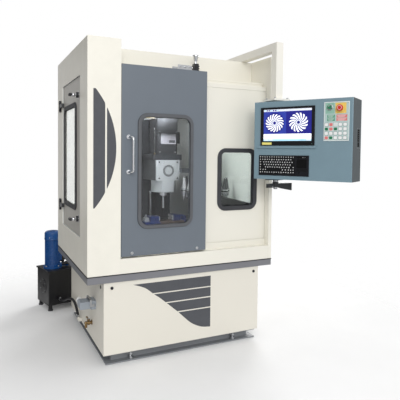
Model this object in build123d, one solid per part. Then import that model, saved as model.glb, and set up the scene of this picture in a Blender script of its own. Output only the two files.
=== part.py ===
from build123d import *
import math
import os

# CNC training mill: a small vertical milling machine in a sheet-metal enclosure on a
# cabinet base, with a swivelling control pendant and a coolant tank beside it.
# Millimetres, +Z up, front towards -Y, origin on the floor under the middle of the plinth.
os.makedirs("parts", exist_ok=True)

# ---------------------------------------------------------------- driving dimensions
W = 1235.0            # enclosure width
D = 1016.0            # enclosure depth
Z_PLINTH = 60.0       # plinth height
Z_BAND = 486.0        # underside of the support tray
Z_BOT = 528.0         # bottom of the enclosure walls
Z_TOP = 1878.0        # top of the enclosure
T = 3.0               # sheet thickness
BASE_IN = 96.0        # base cabinet set-in from the enclosure sides
BASE_Y0 = 10.0        # base front face
BASE_Y1 = 1000.0      # base rear face
POST_W = 192.0        # width of the left front post
HEAD_Y = 242.0        # set-back of the header panel
SHELF_Z = 1683.0      # top of the shelf above the doorway
SILL_Z = 618.0        # top of the sill ledge
RIGHT_X = 1210.0      # inner edge of the right front return
FIX_Y = 52.0          # front face of the fixed front panel
DOOR = (195.0, 741.0, 629.0, 1740.0)      # sliding door x0, x1, z0, z1
DOOR_Y = (2.0, 38.0)
DWIN = (470.0, 1125.0, 354.0, 680.0)      # door window centre x, z, outer width, height
FWIN = (994.0, 1065.0, 298.0, 406.0)      # fixed window centre x, z, outer width, height
SWIN = (548.5, 1206.0, 423.0, 678.0)      # side window centre y, z, outer width, height
SOPEN = (203.0, 819.0, 720.0, 1690.0)     # side opening y0, y1, z0, z1
HINGE = (-9.0, 860.0)                     # side door hinge axis x, y
HINGE_Z = (1560.0, 856.0)
LATCH_Y = 285.0
LATCH_Z = (1580.0, 825.0)
SX, SY = 617.5, 425.0                     # spindle axis
TABLE_Z = 748.0                           # table top
X_TRAVEL, Y_TRAVEL = 115.0, 70.0
CAR = (993.0, 520.0)                      # tool carousel axis
CAR_R = 160.0
TOOLS = 10
PIV = (1150.0, -159.0)                    # pendant swivel axis
PEND_A = -59.25                           # pendant angle at rest
PW, PH, PD = 610.0, 476.0, 175.0          # pendant width, height, depth
P_U0 = 111.0                              # swivel axis from the pendant's left end
P_Z = 1554.0                              # pendant top
TUBE = 50.0                               # arm tube section
TANK = (-58.0, 1090.0, 400.0, 235.0)      # tank front-left corner x, y, width, depth
TANK_A = 14.0
TANK_Z = (44.0, 314.0)
HOSE_D = 18.0

OX, OY = W / 2, D / 2


# ---------------------------------------------------------------- helpers
def bx(x0, x1, y0, y1, z0, z1):
    return Pos((x0 + x1) / 2 - OX, (y0 + y1) / 2 - OY, (z0 + z1) / 2) * Box(x1 - x0, y1 - y0, z1 - z0)


def cz(x, y, z0, z1, r):
    return Pos(x - OX, y - OY, (z0 + z1) / 2) * Cylinder(r, z1 - z0)


def cx(x0, x1, y, z, r):
    return Pos((x0 + x1) / 2 - OX, y - OY, z) * Rot(0, 90, 0) * Cylinder(r, x1 - x0)


def cy(x, y0, y1, z, r):
    return Pos(x - OX, (y0 + y1) / 2 - OY, z) * Rot(90, 0, 0) * Cylinder(r, y1 - y0)


def rr_y(mx, mz, w, h, r, y0, y1):
    """Rounded-rectangle slab facing the front."""
    pl = Plane(origin=(mx - OX, y0 - OY, mz), x_dir=(1, 0, 0), z_dir=(0, 1, 0))
    return extrude(pl * RectangleRounded(w, h, r), amount=y1 - y0)


def rr_x(my, mz, w, h, r, x0, x1):
    """Rounded-rectangle slab facing the side."""
    pl = Plane(origin=(x0 - OX, my - OY, mz), x_dir=(0, 1, 0), z_dir=(1, 0, 0))
    return extrude(pl * RectangleRounded(w, h, r), amount=x1 - x0)


def hexz(x, y, z0, z1, r):
    return Pos(x - OX, y - OY, z0) * extrude(RegularPolygon(r, 6), amount=z1 - z0)


def frame_xy(x0, x1, y0, y1, z0, z1, wd):
    return bx(x0, x1, y0, y1, z0, z1) - bx(x0 + wd, x1 - wd, y0 + wd, y1 - wd, z0 - 1, z1 + 1)


def save(name, shape):
    export_step(shape, f"parts/{name}.step")


def group(*shapes):
    return Compound(children=list(shapes))


# ---------------------------------------------------------------- plinth and base
px0, px1, py0, py1 = BASE_IN + 16, W - BASE_IN - 16, BASE_Y0 + 13, BASE_Y1 - 13
plinth = frame_xy(px0, px1, py0, py1, 0, 8, 45)
plinth += frame_xy(px0, px1, py0, py1, Z_PLINTH - 8, Z_PLINTH, 45)
plinth += frame_xy(px0 + 39, px1 - 39, py0 + 39, py1 - 39, 0, Z_PLINTH, 6)
cross = bx(OX - 25, OX + 25, py0 + 42, py1 - 42, 0, Z_PLINTH) - bx(OX - 20, OX + 20, py0 + 30, py1 - 30, 5, Z_PLINTH - 5)
plinth += cross
BOLT_XY = [(266, py0 + 20), (964, py0 + 20), (266, py1 - 20), (964, py1 - 20)]
for x, y in BOLT_XY:
    plinth -= cz(x, y, -1, 9, 8.4)
save("plinth_frame", plinth)

bolts = []
for x, y in BOLT_XY:
    b = cz(x, y, 1, Z_PLINTH - 8, 8) + hexz(x, y, 8, 20, 15) + hexz(x, y, 34, 44, 15)
    bolts.append(b)
save("leveling_bolts", group(*bolts))

cab = bx(BASE_IN, W - BASE_IN, BASE_Y0 + T, BASE_Y1, Z_PLINTH, Z_BAND)
cab -= bx(BASE_IN + T, W - BASE_IN - T, BASE_Y0 + 2 * T, BASE_Y1 - T, Z_PLINTH + T, Z_BAND - T)
cab -= bx(BASE_IN + 75, W - BASE_IN - 75, BASE_Y0, BASE_Y0 + 20, Z_PLINTH + 45, Z_BAND - 60)
SCREWS = [(144, 452), (1103, 453)]
for x, z in SCREWS:
    cab -= cy(x, BASE_Y0, BASE_Y0 + 12, z, 4.2)
cab -= cz(OX, 500, Z_BAND - 5, Z_BAND + 1, 60)                 # cable passage into the tray
ELB = (76.0, 615.0, 70.0)                                      # return elbow on the left side
elbow = cx(ELB[0] - 2, BASE_IN + 1, ELB[1], ELB[2] + 8, 13)
nip = Plane(origin=(ELB[0] - OX, ELB[1] - OY, ELB[2] + 8), z_dir=(0, 60, 48))
elbow += extrude(nip * Circle(9), amount=18)
cab += elbow
save("base_cabinet", cab)

front = bx(BASE_IN, W - BASE_IN, BASE_Y0, BASE_Y0 + T, Z_PLINTH + 2, Z_BAND - 2)
for x, z in SCREWS:
    front -= cy(x, BASE_Y0 - 1, BASE_Y0 + T + 1, z, 4.2)
save("base_front_panel", front)
scr = []
for x, z in SCREWS:
    head = cy(x, BASE_Y0 - 6, BASE_Y0, z, 9)
    head = fillet(head.edges().group_by(Axis.Y)[0], 3.5)
    scr.append(head + cy(x, BASE_Y0 - 1, BASE_Y0 + 9, z, 4))
save("base_panel_screws", group(*scr))

tray = bx(0, W, 0, D, Z_BAND, Z_BOT) - bx(6, W - 6, 6, D - 6, Z_BAND + 4, Z_BOT + 1)
tray -= cz(OX, 500, Z_BAND - 1, Z_BAND + 5, 60)
save("support_tray", tray)

drives = []
for x in (330, 480, 630):
    d = bx(x, x + 110, 830, BASE_Y1 - T, 170, 400)
    for k in range(5):
        d -= bx(x + 14 + 18 * k, x + 22 + 18 * k, 825, 850, 200, 300)
    drives.append(d)
save("drive_modules", group(*drives))

# ---------------------------------------------------------------- services on the left side
con = bx(66, BASE_IN, 195, 285, 280, 332)
hood = bx(0, 66, 200, 280, 284, 328)
hood = fillet(hood.edges().filter_by(Axis.Y), 7)
con += hood
con += cy(20, 279, 300, 308, 20) + cy(20, 300, 330, 308, 16)
con += Pos(20 - OX, 300 - OY, 308) * Rot(90, 0, 0) * extrude(RegularPolygon(21, 6), amount=-14)
con += cy(78, 189, 291, 306, 5)
save("power_connector", con)

lev = bx(58, 88, 189.5, 192.5, 298, 314) + bx(58, 88, 287.5, 290.5, 298, 314)
lev += bx(58, 70, 189.5, 192.5, 298, 342) + bx(58, 70, 287.5, 290.5, 298, 342)
lev += bx(58, 70, 189.5, 290.5, 338, 342)
lev -= cy(78, 180, 300, 306, 5.05)
save("connector_lever", lev)

DRN = (303.0, 163.0)
valve = cx(58, BASE_IN, DRN[0], DRN[1], 9.5) + Pos(58 - OX, DRN[0] - OY, DRN[1]) * Sphere(11) + cz(58, DRN[0], 134, DRN[1], 8)
valve += cx(67.5, 81.5, DRN[0], DRN[1], 14) + Pos(BASE_IN - 4 - OX, DRN[0] - OY, DRN[1]) * Rot(0, 90, 0) * extrude(RegularPolygon(17, 6), amount=4)
valve += cz(74, DRN[0], DRN[1], 186, 4.5)
save("drain_valve_body", valve)
dl = cz(74, DRN[0], 178.5, 186, 9) + bx(69, 79, DRN[0] - 4, DRN[0] + 52, 180, 185)
dl += cz(74, DRN[0] + 52, 180, 185, 6.5)
dl -= cz(74, DRN[0], 170, 190, 4.55)
save("drain_lever", dl)

# return hose: elbow on the base to the spigot on the tank
ta = math.radians(TANK_A)


def tk(u, v):
    """Point on the tank's own plan, u to its right and v to its back, in enclosure coordinates."""
    return (TANK[0] + u * math.cos(ta) - v * math.sin(ta), TANK[1] + u * math.sin(ta) + v * math.cos(ta))


ev = Vector(0, 60, 48).normalized()
h0 = (ELB[0], ELB[1] + ev.Y * 18, ELB[2] + 8 + ev.Z * 18)
SPIG_U, SPIG_Z = 74.0, 96.0
s_out = tk(SPIG_U, -34)
s_far = tk(SPIG_U, -99)
HOSE = [
    h0,
    (h0[0], h0[1] + 58, h0[2] + 46.4),
    (73.0, 776.0, 166.0),
    (66.0, 866.0, 157.0),
    (54.0, 950.0, 128.0),
    (s_far[0], s_far[1], SPIG_Z),
    (s_out[0], s_out[1], SPIG_Z),
]
pts = [Vector(x - OX, y - OY, z) for x, y, z in HOSE]
radii, length = [], 0.0
for a, b, c in zip(pts, pts[1:], pts[2:]):
    turn = (b - a).get_angle(c - b)
    radii.append(0.45 * min((b - a).length, (c - b).length) / math.tan(math.radians(turn) / 2))
print("hose radii mm", [round(r) for r in radii])
path = FilletPolyline(*pts, radius=radii)
hose = sweep(Plane(origin=path @ 0, z_dir=path % 0) * Circle(HOSE_D / 2), path=path)
hose_len = path.length
print("hose length mm", round(hose_len, 1), "volume ratio", round(hose.volume / (math.pi * HOSE_D**2 / 4 * hose_len), 4))
print("hose points mm", [(round(p.X, 1), round(p.Y, 1), round(p.Z, 1)) for p in pts])
save("return_hose", hose)

# ---------------------------------------------------------------- enclosure
lw = bx(0, T, 0, D, Z_BOT, Z_TOP)
lw += bx(0, POST_W, 0, T, Z_BOT, Z_TOP)
lw += bx(POST_W - T, POST_W, 0, HEAD_Y, Z_BOT, Z_TOP)
lw += bx(0, POST_W, 0, HEAD_Y, Z_TOP - T, Z_TOP)
y0, y1, z0, z1 = SOPEN
lw += bx(0, 28, y0 - T, y1 + T, z0 - T, z1 + T)
lw -= bx(-1, 40, y0, y1, z0, z1)
save("left_wall", lw)

rw = bx(W - T, W, 0, D, Z_BOT, Z_TOP)
rw += bx(RIGHT_X, W, 0, T, Z_BOT, Z_TOP)
rw += bx(RIGHT_X, RIGHT_X + T, 0, 49, Z_BOT, Z_TOP)
rw += bx(RIGHT_X, RIGHT_X + T, 0, HEAD_Y, SHELF_Z, Z_TOP)
rw += bx(RIGHT_X, W, 0, HEAD_Y, Z_TOP - T, Z_TOP)
save("right_wall", rw)

rear = bx(T, W - T, D - T, D, Z_BOT, Z_TOP)
rear += bx(T, W - T, D - 30, D, Z_BOT, Z_BOT + T)
for i in range(6):
    zz = 1640 + 22 * i
    rear -= bx(880, 1080, D - T - 1, D + 1, zz, zz + 8)
save("rear_wall", rear)

roof = bx(T, W - T, HEAD_Y, D - T, Z_TOP - T, Z_TOP)
roof += bx(POST_W, W - T, HEAD_Y, HEAD_Y + T, SHELF_Z - T, Z_TOP)
roof += bx(POST_W, RIGHT_X, 49, HEAD_Y + T, SHELF_Z - T, SHELF_Z)
roof += bx(POST_W, RIGHT_X, 49, 49 + T, SHELF_Z - 28, SHELF_Z)
save("roof_header", roof)

sill = bx(POST_W, RIGHT_X, 0, T, Z_BOT, SILL_Z)
sill += bx(POST_W, RIGHT_X, 0, 60, SILL_Z - T, SILL_Z)
sill += bx(POST_W, RIGHT_X, 44, 47, SILL_Z - T, SILL_Z + 40)
save("front_sill", sill)

fp = bx(690, RIGHT_X + 22, FIX_Y, FIX_Y + T, SILL_Z, SHELF_Z - T)
fp += bx(690, 690 + T, FIX_Y, FIX_Y + 40, SILL_Z, SHELF_Z - T)
fwx, fwz, fww, fwh = FWIN
fp -= rr_y(fwx, fwz, fww - 36, fwh - 36, 42, FIX_Y - 1, FIX_Y + T + 1)
save("fixed_panel", fp)
fg = rr_y(fwx, fwz, fww, fwh, 60, FIX_Y - 9, FIX_Y)
fg += rr_y(fwx, fwz, fww - 37, fwh - 37, 41.5, FIX_Y - 1, FIX_Y + 26)
fg -= rr_y(fwx, fwz, fww - 56, fwh - 56, 24, FIX_Y - 10, FIX_Y + 27)
fg = fillet(fg.edges().filter_by_position(Axis.Y, FIX_Y - 9 - OY - 0.1, FIX_Y - 9 - OY + 0.1), 3)
save("fixed_gasket", fg)
save("fixed_glass", rr_y(fwx, fwz, fww - 40, fwh - 40, 30, FIX_Y + 26, FIX_Y + 32))

track = bx(POST_W + 6, RIGHT_X - 4, 84, 104, SHELF_Z, SHELF_Z + 30)
track -= bx(POST_W, RIGHT_X, 84, 88, SHELF_Z + 8, SHELF_Z + 20)
track -= bx(POST_W, RIGHT_X, 100, 104, SHELF_Z + 8, SHELF_Z + 20)
save("door_track", track)

# door safety switch on the shelf: base plate, ribbed body and flared release knob
SWX, SWY = 735.0, 163.0
sw = bx(SWX - 42, SWX + 36, SWY - 34, SWY + 34, SHELF_Z, SHELF_Z + 8)
sw += bx(SWX - 15, SWX + 15, SWY - 17, SWY + 17, SHELF_Z + 8, SHELF_Z + 130)
for k in range(7):
    sw += bx(SWX - 18, SWX + 18, SWY - 20, SWY + 20, SHELF_Z + 20 + 15 * k, SHELF_Z + 28 + 15 * k)
sw += cz(SWX, SWY, SHELF_Z + 130, SHELF_Z + 150, 9)
sw += Pos(SWX - OX, SWY - OY, SHELF_Z + 165) * Cone(11, 19, 30) + cz(SWX, SWY, SHELF_Z + 180, SHELF_Z + 186, 19)
save("interlock_switch", sw)

# ---------------------------------------------------------------- sliding door
dx0, dx1, dz0, dz1 = DOOR
dy0, dy1 = DOOR_Y
wx, wz, ww, wh = DWIN
dp = bx(dx0, dx1, dy0, dy1, dz0, dz1)
dp = fillet(dp.edges().filter_by(Axis.Z).group_by(Axis.Y)[0], 4)
dp -= bx(dx0 + T, dx1 - T, dy0 + T, dy1 + 1, dz0 + T, dz1 - T)
dp += rr_y(wx, wz, ww - 24, wh - 24, 51, dy0 + T - 1, dy0 + 22)
dp -= rr_y(wx, wz, ww - 36, wh - 36, 45, dy0 - 1, dy1 + 1)
save("door_panel", dp)
dg = rr_y(wx, wz, ww, wh, 62, dy0 - 8, dy0) - rr_y(wx, wz, ww - 46, wh - 46, 42, dy0 - 9, dy0 + 1)
dg = fillet(dg.edges().filter_by_position(Axis.Y, dy0 - 8 - OY - 0.1, dy0 - 8 - OY + 0.1), 3)
save("door_gasket", dg)
save("door_glass", rr_y(wx, wz, ww - 37, wh - 37, 44.5, dy0, dy0 + 6))

HZ0, HZ1 = 1121.0, 1323.0
hp = FilletPolyline(
    (236 - OX, dy0 - OY, HZ0), (251 - OX, -46 - OY, HZ0), (251 - OX, -46 - OY, HZ1), (236 - OX, dy0 - OY, HZ1), radius=18
)
hbar = sweep(Plane(origin=hp @ 0, z_dir=hp % 0) * Circle(7), path=hp)
hbar += cy(236.5, dy0 - 5, dy0, HZ0, 13) + cy(236.5, dy0 - 5, dy0, HZ1, 13)
hbar = hbar & bx(150, 350, -80, dy0, 1000, 1500)
save("door_handle", hbar)

hang = []
for x in (300, 640):
    g = bx(x - 28, x + 28, dy0 + T, dy0 + T + 5, 1690, dz1 - T)
    g += bx(x - 28, x + 28, dy0 + T, 114, dz1 - 13, dz1 - T - 4)
    g += bx(x - 22, x + 22, 80.5, 83.7, SHELF_Z + 6, dz1 - 13)
    g += bx(x - 22, x + 22, 104.3, 107.5, SHELF_Z + 6, dz1 - 13)
    g += bx(x - 22, x + 22, 80.5, 107.5, SHELF_Z + 30.4, dz1 - 13)
    hang.append(g)
save("door_hangers", group(*hang))

# ---------------------------------------------------------------- side service door
my, mz, sw_, sh_ = SWIN
X0 = 8.0
sd = bx(X0, 26, y0 + 3, y1 - 3, z0 + 3, z1 - 3) - bx(X0 + T, 30, y0 + 3 + T, y1 - 3 - T, z0 + 3 + T, z1 - 3 - T)
sd += rr_x(my, mz, sw_ - 24, sh_ - 24, 40, X0 + 1, X0 + 16)
sd -= rr_x(my, mz, sw_ - 36, sh_ - 36, 34, 0, 40)
for hz in HINGE_Z:
    sd += bx(-13, X0 + 1, 776, 800, hz - 13.7, hz + 13.7)
    sd += bx(-13, -5, 776, HINGE[1], hz - 13.7, hz + 13.7)
    sd += cz(HINGE[0], HINGE[1], hz - 13.7, hz + 13.7, 7.5)
    sd -= cz(HINGE[0], HINGE[1], hz - 20, hz + 20, 4.05)
for lz in LATCH_Z:
    sd -= cx(X0 - 5, 40, LATCH_Y, lz, 7.05)
save("service_door", sd)
sg = rr_x(my, mz, sw_, sh_, 50, X0 - 8, X0) - rr_x(my, mz, sw_ - 60, sh_ - 60, 28, X0 - 9, X0 + 1)
sg = fillet(sg.edges().filter_by_position(Axis.X, X0 - 8 - OX - 0.1, X0 - 8 - OX + 0.1), 3)
save("service_gasket", sg)
save("service_glass", rr_x(my, mz, sw_ - 37, sh_ - 37, 33.5, X0, X0 + 6))

hinges = []
for hz in HINGE_Z:
    h = bx(-4, 0, 872, 936, hz - 38, hz + 38)
    for a, b in ((hz - 38, hz - 14), (hz + 14, hz + 38)):
        h += cz(HINGE[0], HINGE[1], a, b, 7.5) + bx(-12, -4, HINGE[1], 880, a, b)
    h += cz(HINGE[0], HINGE[1], hz - 40, hz + 40, 4)
    hinges.append(h)
save("service_hinges", group(*hinges))

for name, lz in (("upper_latch", LATCH_Z[0]), ("lower_latch", LATCH_Z[1])):
    k = cx(-7, X0 - 0.2, LATCH_Y, lz, 18)
    k = fillet(k.edges().group_by(Axis.X)[0], 4)
    k += cx(-37, -6, LATCH_Y, lz, 6)
    t = bx(-50, -35, LATCH_Y - 24, LATCH_Y + 24, lz - 8, lz + 8)
    t = fillet(t.edges().filter_by(Axis.X), 7)
    k += fillet(t.edges().group_by(Axis.X)[0], 4)
    k += cx(X0 - 1, 34, LATCH_Y, lz, 7)
    if name == "upper_latch":
        k += bx(30, 34, LATCH_Y - 12, LATCH_Y + 12, lz - 100, lz + 12)
    else:
        k += bx(30, 34, LATCH_Y - 12, LATCH_Y + 12, lz - 12, lz + 100)
    save(name, k)

# ---------------------------------------------------------------- milling machine
bed = bx(417, 818, 230, 940, Z_BAND + 4, 640)
bed = chamfer(bed.edges().filter_by(Axis.Z), 12)
bed += bx(437, 497, 240, 650, 640, 650) + bx(738, 798, 240, 650, 640, 650)
bed -= bx(586, 649, 250, 640, 600, 651)
bed -= cy(SX, 200, 652, 628, 10.05)
for x in (470, 765):
    bed -= bx(x - 22, x + 22, 300, 600, 500, 600)
save("machine_bed", bed)
ys = cy(SX, 230.4, 650, 628, 10)
save("y_screw", ys)

saddle = bx(437, 798, 300, 550, 650.3, 700)
saddle = chamfer(saddle.edges().filter_by(Axis.Z), 10)
saddle += bx(467, 768, 316, 346, 700, 708) + bx(467, 768, 504, 534, 700, 708)
saddle += bx(595, 640, 400, 450, 612, 652)
saddle -= bx(476, 759, 408, 442, 668, 709)
saddle -= cx(420, 820, SY, 686, 8.05)
saddle -= cy(SX, 380, 470, 628, 10.3)
saddle += bx(798, 858, SY - 32, SY + 32, 655, 705)
saddle -= cx(790, 815, SY, 686, 8.05)
save("saddle", saddle)
save("x_screw", cx(437, 813, SY, 686, 8))

table = bx(367, 868, 325, 525, 708.3, TABLE_Z)
for ty in (365, 425, 485):
    table -= bx(360, 875, ty - 6, ty + 6, TABLE_Z - 20, TABLE_Z + 1)
    table -= bx(360, 875, ty - 10, ty + 10, TABLE_Z - 24, TABLE_Z - 14)
table += bx(598, 637, 412, 438, 672, 710)
table -= cx(590, 645, SY, 686, 8.3)
save("table", table)

VZ = TABLE_Z + 33.0                       # vice screw axis
vice = bx(470, 775, 375, 475, TABLE_Z, TABLE_Z + 16)
vice += bx(512, 571, 380, 470, TABLE_Z + 16, TABLE_Z + 50) + bx(571, 579, 385, 465, TABLE_Z + 20, TABLE_Z + 50)
vice += bx(757, 775, 385, 465, TABLE_Z + 16, TABLE_Z + 46)
vice -= cx(750, 785, SY, VZ, 8.3)
vice = chamfer(vice.edges().filter_by(Axis.Z).group_by(Axis.X)[0], 6)
save("vice_body", vice)
jaw = bx(678, 731, 380, 470, TABLE_Z + 16.3, TABLE_Z + 54) + bx(670, 678, 385, 465, TABLE_Z + 20, TABLE_Z + 54)
jaw = chamfer(jaw.edges().filter_by(Axis.Y).group_by(Axis.Z)[-1].sort_by(Axis.X)[-1:], 8)
jaw -= cx(700, 740, SY, VZ, 7.05)
save("vice_jaw", jaw)
vs = cx(700.2, 870, SY, VZ, 7) + Pos(870 - OX, SY - OY, VZ) * Rot(0, 90, 0) * extrude(RegularPolygon(8, 6), amount=16)
save("vice_screw", vs)

col = bx(467, 768, 660, 940, 640, 1640)
col = chamfer(col.edges().filter_by(Axis.Z), 10)
col += bx(487, 537, 646, 662, 720, 1600) + bx(698, 748, 646, 662, 720, 1600)
col -= bx(588, 647, 640, 722, 700, 1600)
col -= bx(492, 743, 748, 915, 639, 1612)
col -= cz(SX, 692, 650, 1632, 12.05)
save("column", col)
save("z_screw", cz(SX, 692, 652, 1630, 12))

mot = []
m1 = cz(SX, 692, 1640, 1664, 30) + bx(SX - 45, SX + 45, 647, 737, 1664, 1790)
mot.append(m1)
m2 = cy(SX, 206, 230, 628, 24) + bx(SX - 45, SX + 45, 96, 206, 583, 673)
mot.append(m2)
save("axis_motors", group(*mot))

hx0, hx1 = SX - 86.5, SX + 86.5
head = bx(hx0, hx1, 335, 614, 1047, 1186)
head = fillet(head.edges().filter_by(Axis.Z).group_by(Axis.Y)[0], 10)
head += cz(SX, SY, 966, 1048, 85) + bx(SX - 42, SX + 42, 335, 420, 966, 1048)
head += bx(hx0 - 18, hx1 + 18, 350, 614, 1186, 1224)
head += bx(482, 753, 612, 645.7, 960, 1330)
head += bx(596, 639, 645, 716, 1080, 1180)
head -= cz(SX, 692, 1000, 1300, 12.3)
head -= cz(SX, SY, 950, 1150, 25.05)
save("spindle_head", head)
sm = bx(SX - 76, SX + 76, 352, 504, 1224, 1470)
sm = fillet(sm.edges().filter_by(Axis.Z), 14)
sm += cz(SX, 428, 1470, 1520, 66)
sm += bx(SX + 76, SX + 108, 390, 470, 1300, 1380)
save("spindle_motor", sm)
spin = cz(SX, SY, 955, 1149.5, 25) + Pos(SX - OX, SY - OY, 948.5) * Cone(13, 24, 25)
spin += cz(SX, SY, 850, 940, 6)
save("spindle", spin)

# ---------------------------------------------------------------- tool carousel
br = bx(768, 900, 700, 760, 1084, 1116)
br += bx(880, 1028, 470, 760, 1084, 1116) - bx(920, 988, 590, 730, 1080, 1120)
br += cz(CAR[0], CAR[1], 952, 1085, 15) + cz(CAR[0], CAR[1], 1116, 1210, 46)
save("atc_bracket", br)
car = cz(CAR[0], CAR[1], 946, 964, 138) + cz(CAR[0], CAR[1], 964, 1030, 44)
for i in range(TOOLS):
    a = math.radians(360 / TOOLS * (i + 0.5))
    tx, ty = CAR[0] + CAR_R * math.cos(a), CAR[1] + CAR_R * math.sin(a)
    car += cz(tx, ty, 942, 972, 24)
    car += Pos(tx - OX, ty - OY, 972 + 39) * Cone(19, 8, 78)
    car += cz(tx, ty, 1049, 1058, 6)
    car += cz(tx, ty, 918, 943, 17) + cz(tx, ty, 886, 919, 6)
car -= cz(CAR[0], CAR[1], 948, 1040, 15.05)
save("carousel", car)

# ---------------------------------------------------------------- pendant arm and pendant
ax0, ax1 = PIV[0] - TUBE / 2, PIV[0] + TUBE / 2
ay0 = PIV[1] - TUBE / 2
arm = bx(ax0, ax1, ay0, 800, Z_TOP, Z_TOP + TUBE) - bx(ax0 + 3, ax1 - 3, ay0 + 3, 801, Z_TOP + 3, Z_TOP + TUBE - 3)
post = bx(ax0, ax1, ay0, ay0 + TUBE, 1576, Z_TOP + 4)
arm += post
arm += bx(ax0 - 55, ax1 + 30, 300, 360, Z_TOP, Z_TOP + 6) + bx(ax0 - 55, ax1 + 30, 690, 750, Z_TOP, Z_TOP + 6)
arm += bx(PIV[0] - 60, PIV[0] + 60, PIV[1] - 60, PIV[1] + 60, 1564.3, 1576)
arm += cz(PIV[0], PIV[1], 1500, 1570, 15)
save("pendant_arm", arm)


def pend(shape):
    return Pos(PIV[0] - OX, PIV[1] - OY, P_Z) * Rot(0, 0, PEND_A) * shape


def pb(u0, u1, v0, v1, n0, n1):
    """Pendant box: u from its left end, v down from its top, n out of its front from mid-depth."""
    return Pos((u0 + u1) / 2 - P_U0, -(n0 + n1) / 2, -(v0 + v1) / 2) * Box(u1 - u0, n1 - n0, v1 - v0)


def pc(u, v, n0, n1, r):
    return Pos(u - P_U0, -(n0 + n1) / 2, -v) * Rot(90, 0, 0) * Cylinder(r, n1 - n0)


F = PD / 2
MON = (47.0, 392.0, 36.0, 268.0)
KEYB = (37.0, 361.0, 328.0, 452.0)
KPAD = (445.0, 590.0, 21.0, 243.0)
SEL = (479.0, 52.0)
EST = (541.0, 58.0)
hs = pb(0, PW, 0, PH, -F + T, F)
hs = fillet(hs.edges().filter_by(Axis.Z).group_by(Axis.Y)[0], 5)
hs -= pb(T, PW - T, T, PH - T, -F - 1, F - T)
hs -= pb(MON[0] + 8, MON[1] - 8, MON[2] + 8, MON[3] - 8, F - 10, F + 5)
hs -= pb(KEYB[0] + 8, KEYB[1] - 8, KEYB[2] + 8, KEYB[3] - 8, F - 10, F + 5)
hs -= pc(*SEL, F - 10, F + 5, 7)
hs -= pc(*EST, F - 10, F + 5, 9)
hs += Pos(0, 0, 5) * Cylinder(42, 10) + Pos(0, 0, -26) * Cylinder(24, 54)
hs -= Pos(0, 0, -20) * Cylinder(15.05, 80)
hs += pb(24, MON[1] + 10, 272, 285, F - 1, F + 7)
hs += Pos(-8, 0, -PH - 4) * Box(92, 72, 8)
hs += Pos(0, 0, -PH - 12) * Cylinder(17, 14) + Pos(0, 0, -PH - 32) * Cylinder(10, 44) + Pos(0, 0, -PH - 57) * Cylinder(14, 6)
save("pendant_housing", pend(hs))
save("pendant_cover", pend(pb(0, PW, 0, PH, -F, -F + T)))

mon = pb(MON[0], MON[1], MON[2], MON[3], F, F + 5) + pb(MON[0] + 9, MON[1] - 9, MON[2] + 9, MON[3] - 9, F - 38, F + 1)
mon -= pb(MON[0] + 19, MON[1] - 19, MON[2] + 13, MON[3] - 20, F + 2, F + 6)
save("monitor", pend(mon))
kb = pb(KEYB[0], KEYB[1], KEYB[2], KEYB[3], F, F + 4) + pb(KEYB[0] + 9, KEYB[1] - 9, KEYB[2] + 9, KEYB[3] - 9, F - 16, F + 1)
save("keyboard", pend(kb))
kp = pb(KPAD[0], KPAD[1], KPAD[2], KPAD[3], F, F + 3)
kp += pc(*EST, F + 3, F + 12, 13)
kp -= pc(*SEL, F - 1, F + 4, 5.05)
kp -= pc(*EST, F - 1, F + 20, 6.05)
save("keypad_plate", pend(kp))
sel = pc(*SEL, F + 3.3, F + 20, 11) + pc(*SEL, F - 14, F + 5, 5)
sel += pb(SEL[0] - 3.5, SEL[0] + 3.5, SEL[1] - 15, SEL[1] + 11, F + 12, F + 24)
save("selector_knob", pend(sel))
est = pc(*EST, F + 19, F + 32, 18)
est = fillet(est.edges().group_by(Axis.Y)[0], 5)
est += pc(*EST, F - 12, F + 20, 6)
save("estop_button", pend(est))

side = [(-58, -22), (-58, 3), (-20, 5), (20, 8), (108, 10), (108, -39), (26, -24), (17, -16.5), (-17, -16.5), (-26, -21)]
grip = extrude(Plane.XZ * make_face(Polyline(*side, close=True)), amount=12, both=True)
grip = fillet(grip.edges().group_by(Axis.X)[-1], 6)
lv = Pos(0, 0, -PH - 36) * Rot(0, 0, 46) * grip + Pos(0, 0, -PH - 36) * Cylinder(19, 32)
lv -= Pos(0, 0, -PH - 36) * Cylinder(10.05, 80)
save("clamp_lever", pend(lv))


# ---------------------------------------------------------------- coolant unit
def tank_place(shape):
    return Pos(TANK[0] - OX, TANK[1] - OY, 0) * Rot(0, 0, TANK_A) * shape


def tb(u0, u1, v0, v1, z0, z1):
    return Pos((u0 + u1) / 2, (v0 + v1) / 2, (z0 + z1) / 2) * Box(u1 - u0, v1 - v0, z1 - z0)


def tc(u, v, z0, z1, r):
    return Pos(u, v, (z0 + z1) / 2) * Cylinder(r, z1 - z0)


TW, TD = TANK[2], TANK[3]
tz0, tz1 = TANK_Z
tank = tb(0, TW, 0, TD, tz0, tz1 - 4)
tank = fillet(tank.edges().filter_by(Axis.Z), 6)
tank += tb(-5, TW + 5, -5, TD + 5, tz1 - 5, tz1)
tank -= tb(4, TW - 4, 4, TD - 4, tz0 + 4, tz1 - 6)
for u in (22, TW - 22):
    for v in (22, TD - 22):
        tank += tc(u, v, 0, tz0 + 1, 15)
tank += Pos(SPIG_U, -16, SPIG_Z) * Rot(90, 0, 0) * Cylinder(9, 36)
tank += Pos(SPIG_U, -4, SPIG_Z) * Rot(90, 0, 0) * Cylinder(16, 10)
save("coolant_tank", tank_place(tank))

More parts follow.
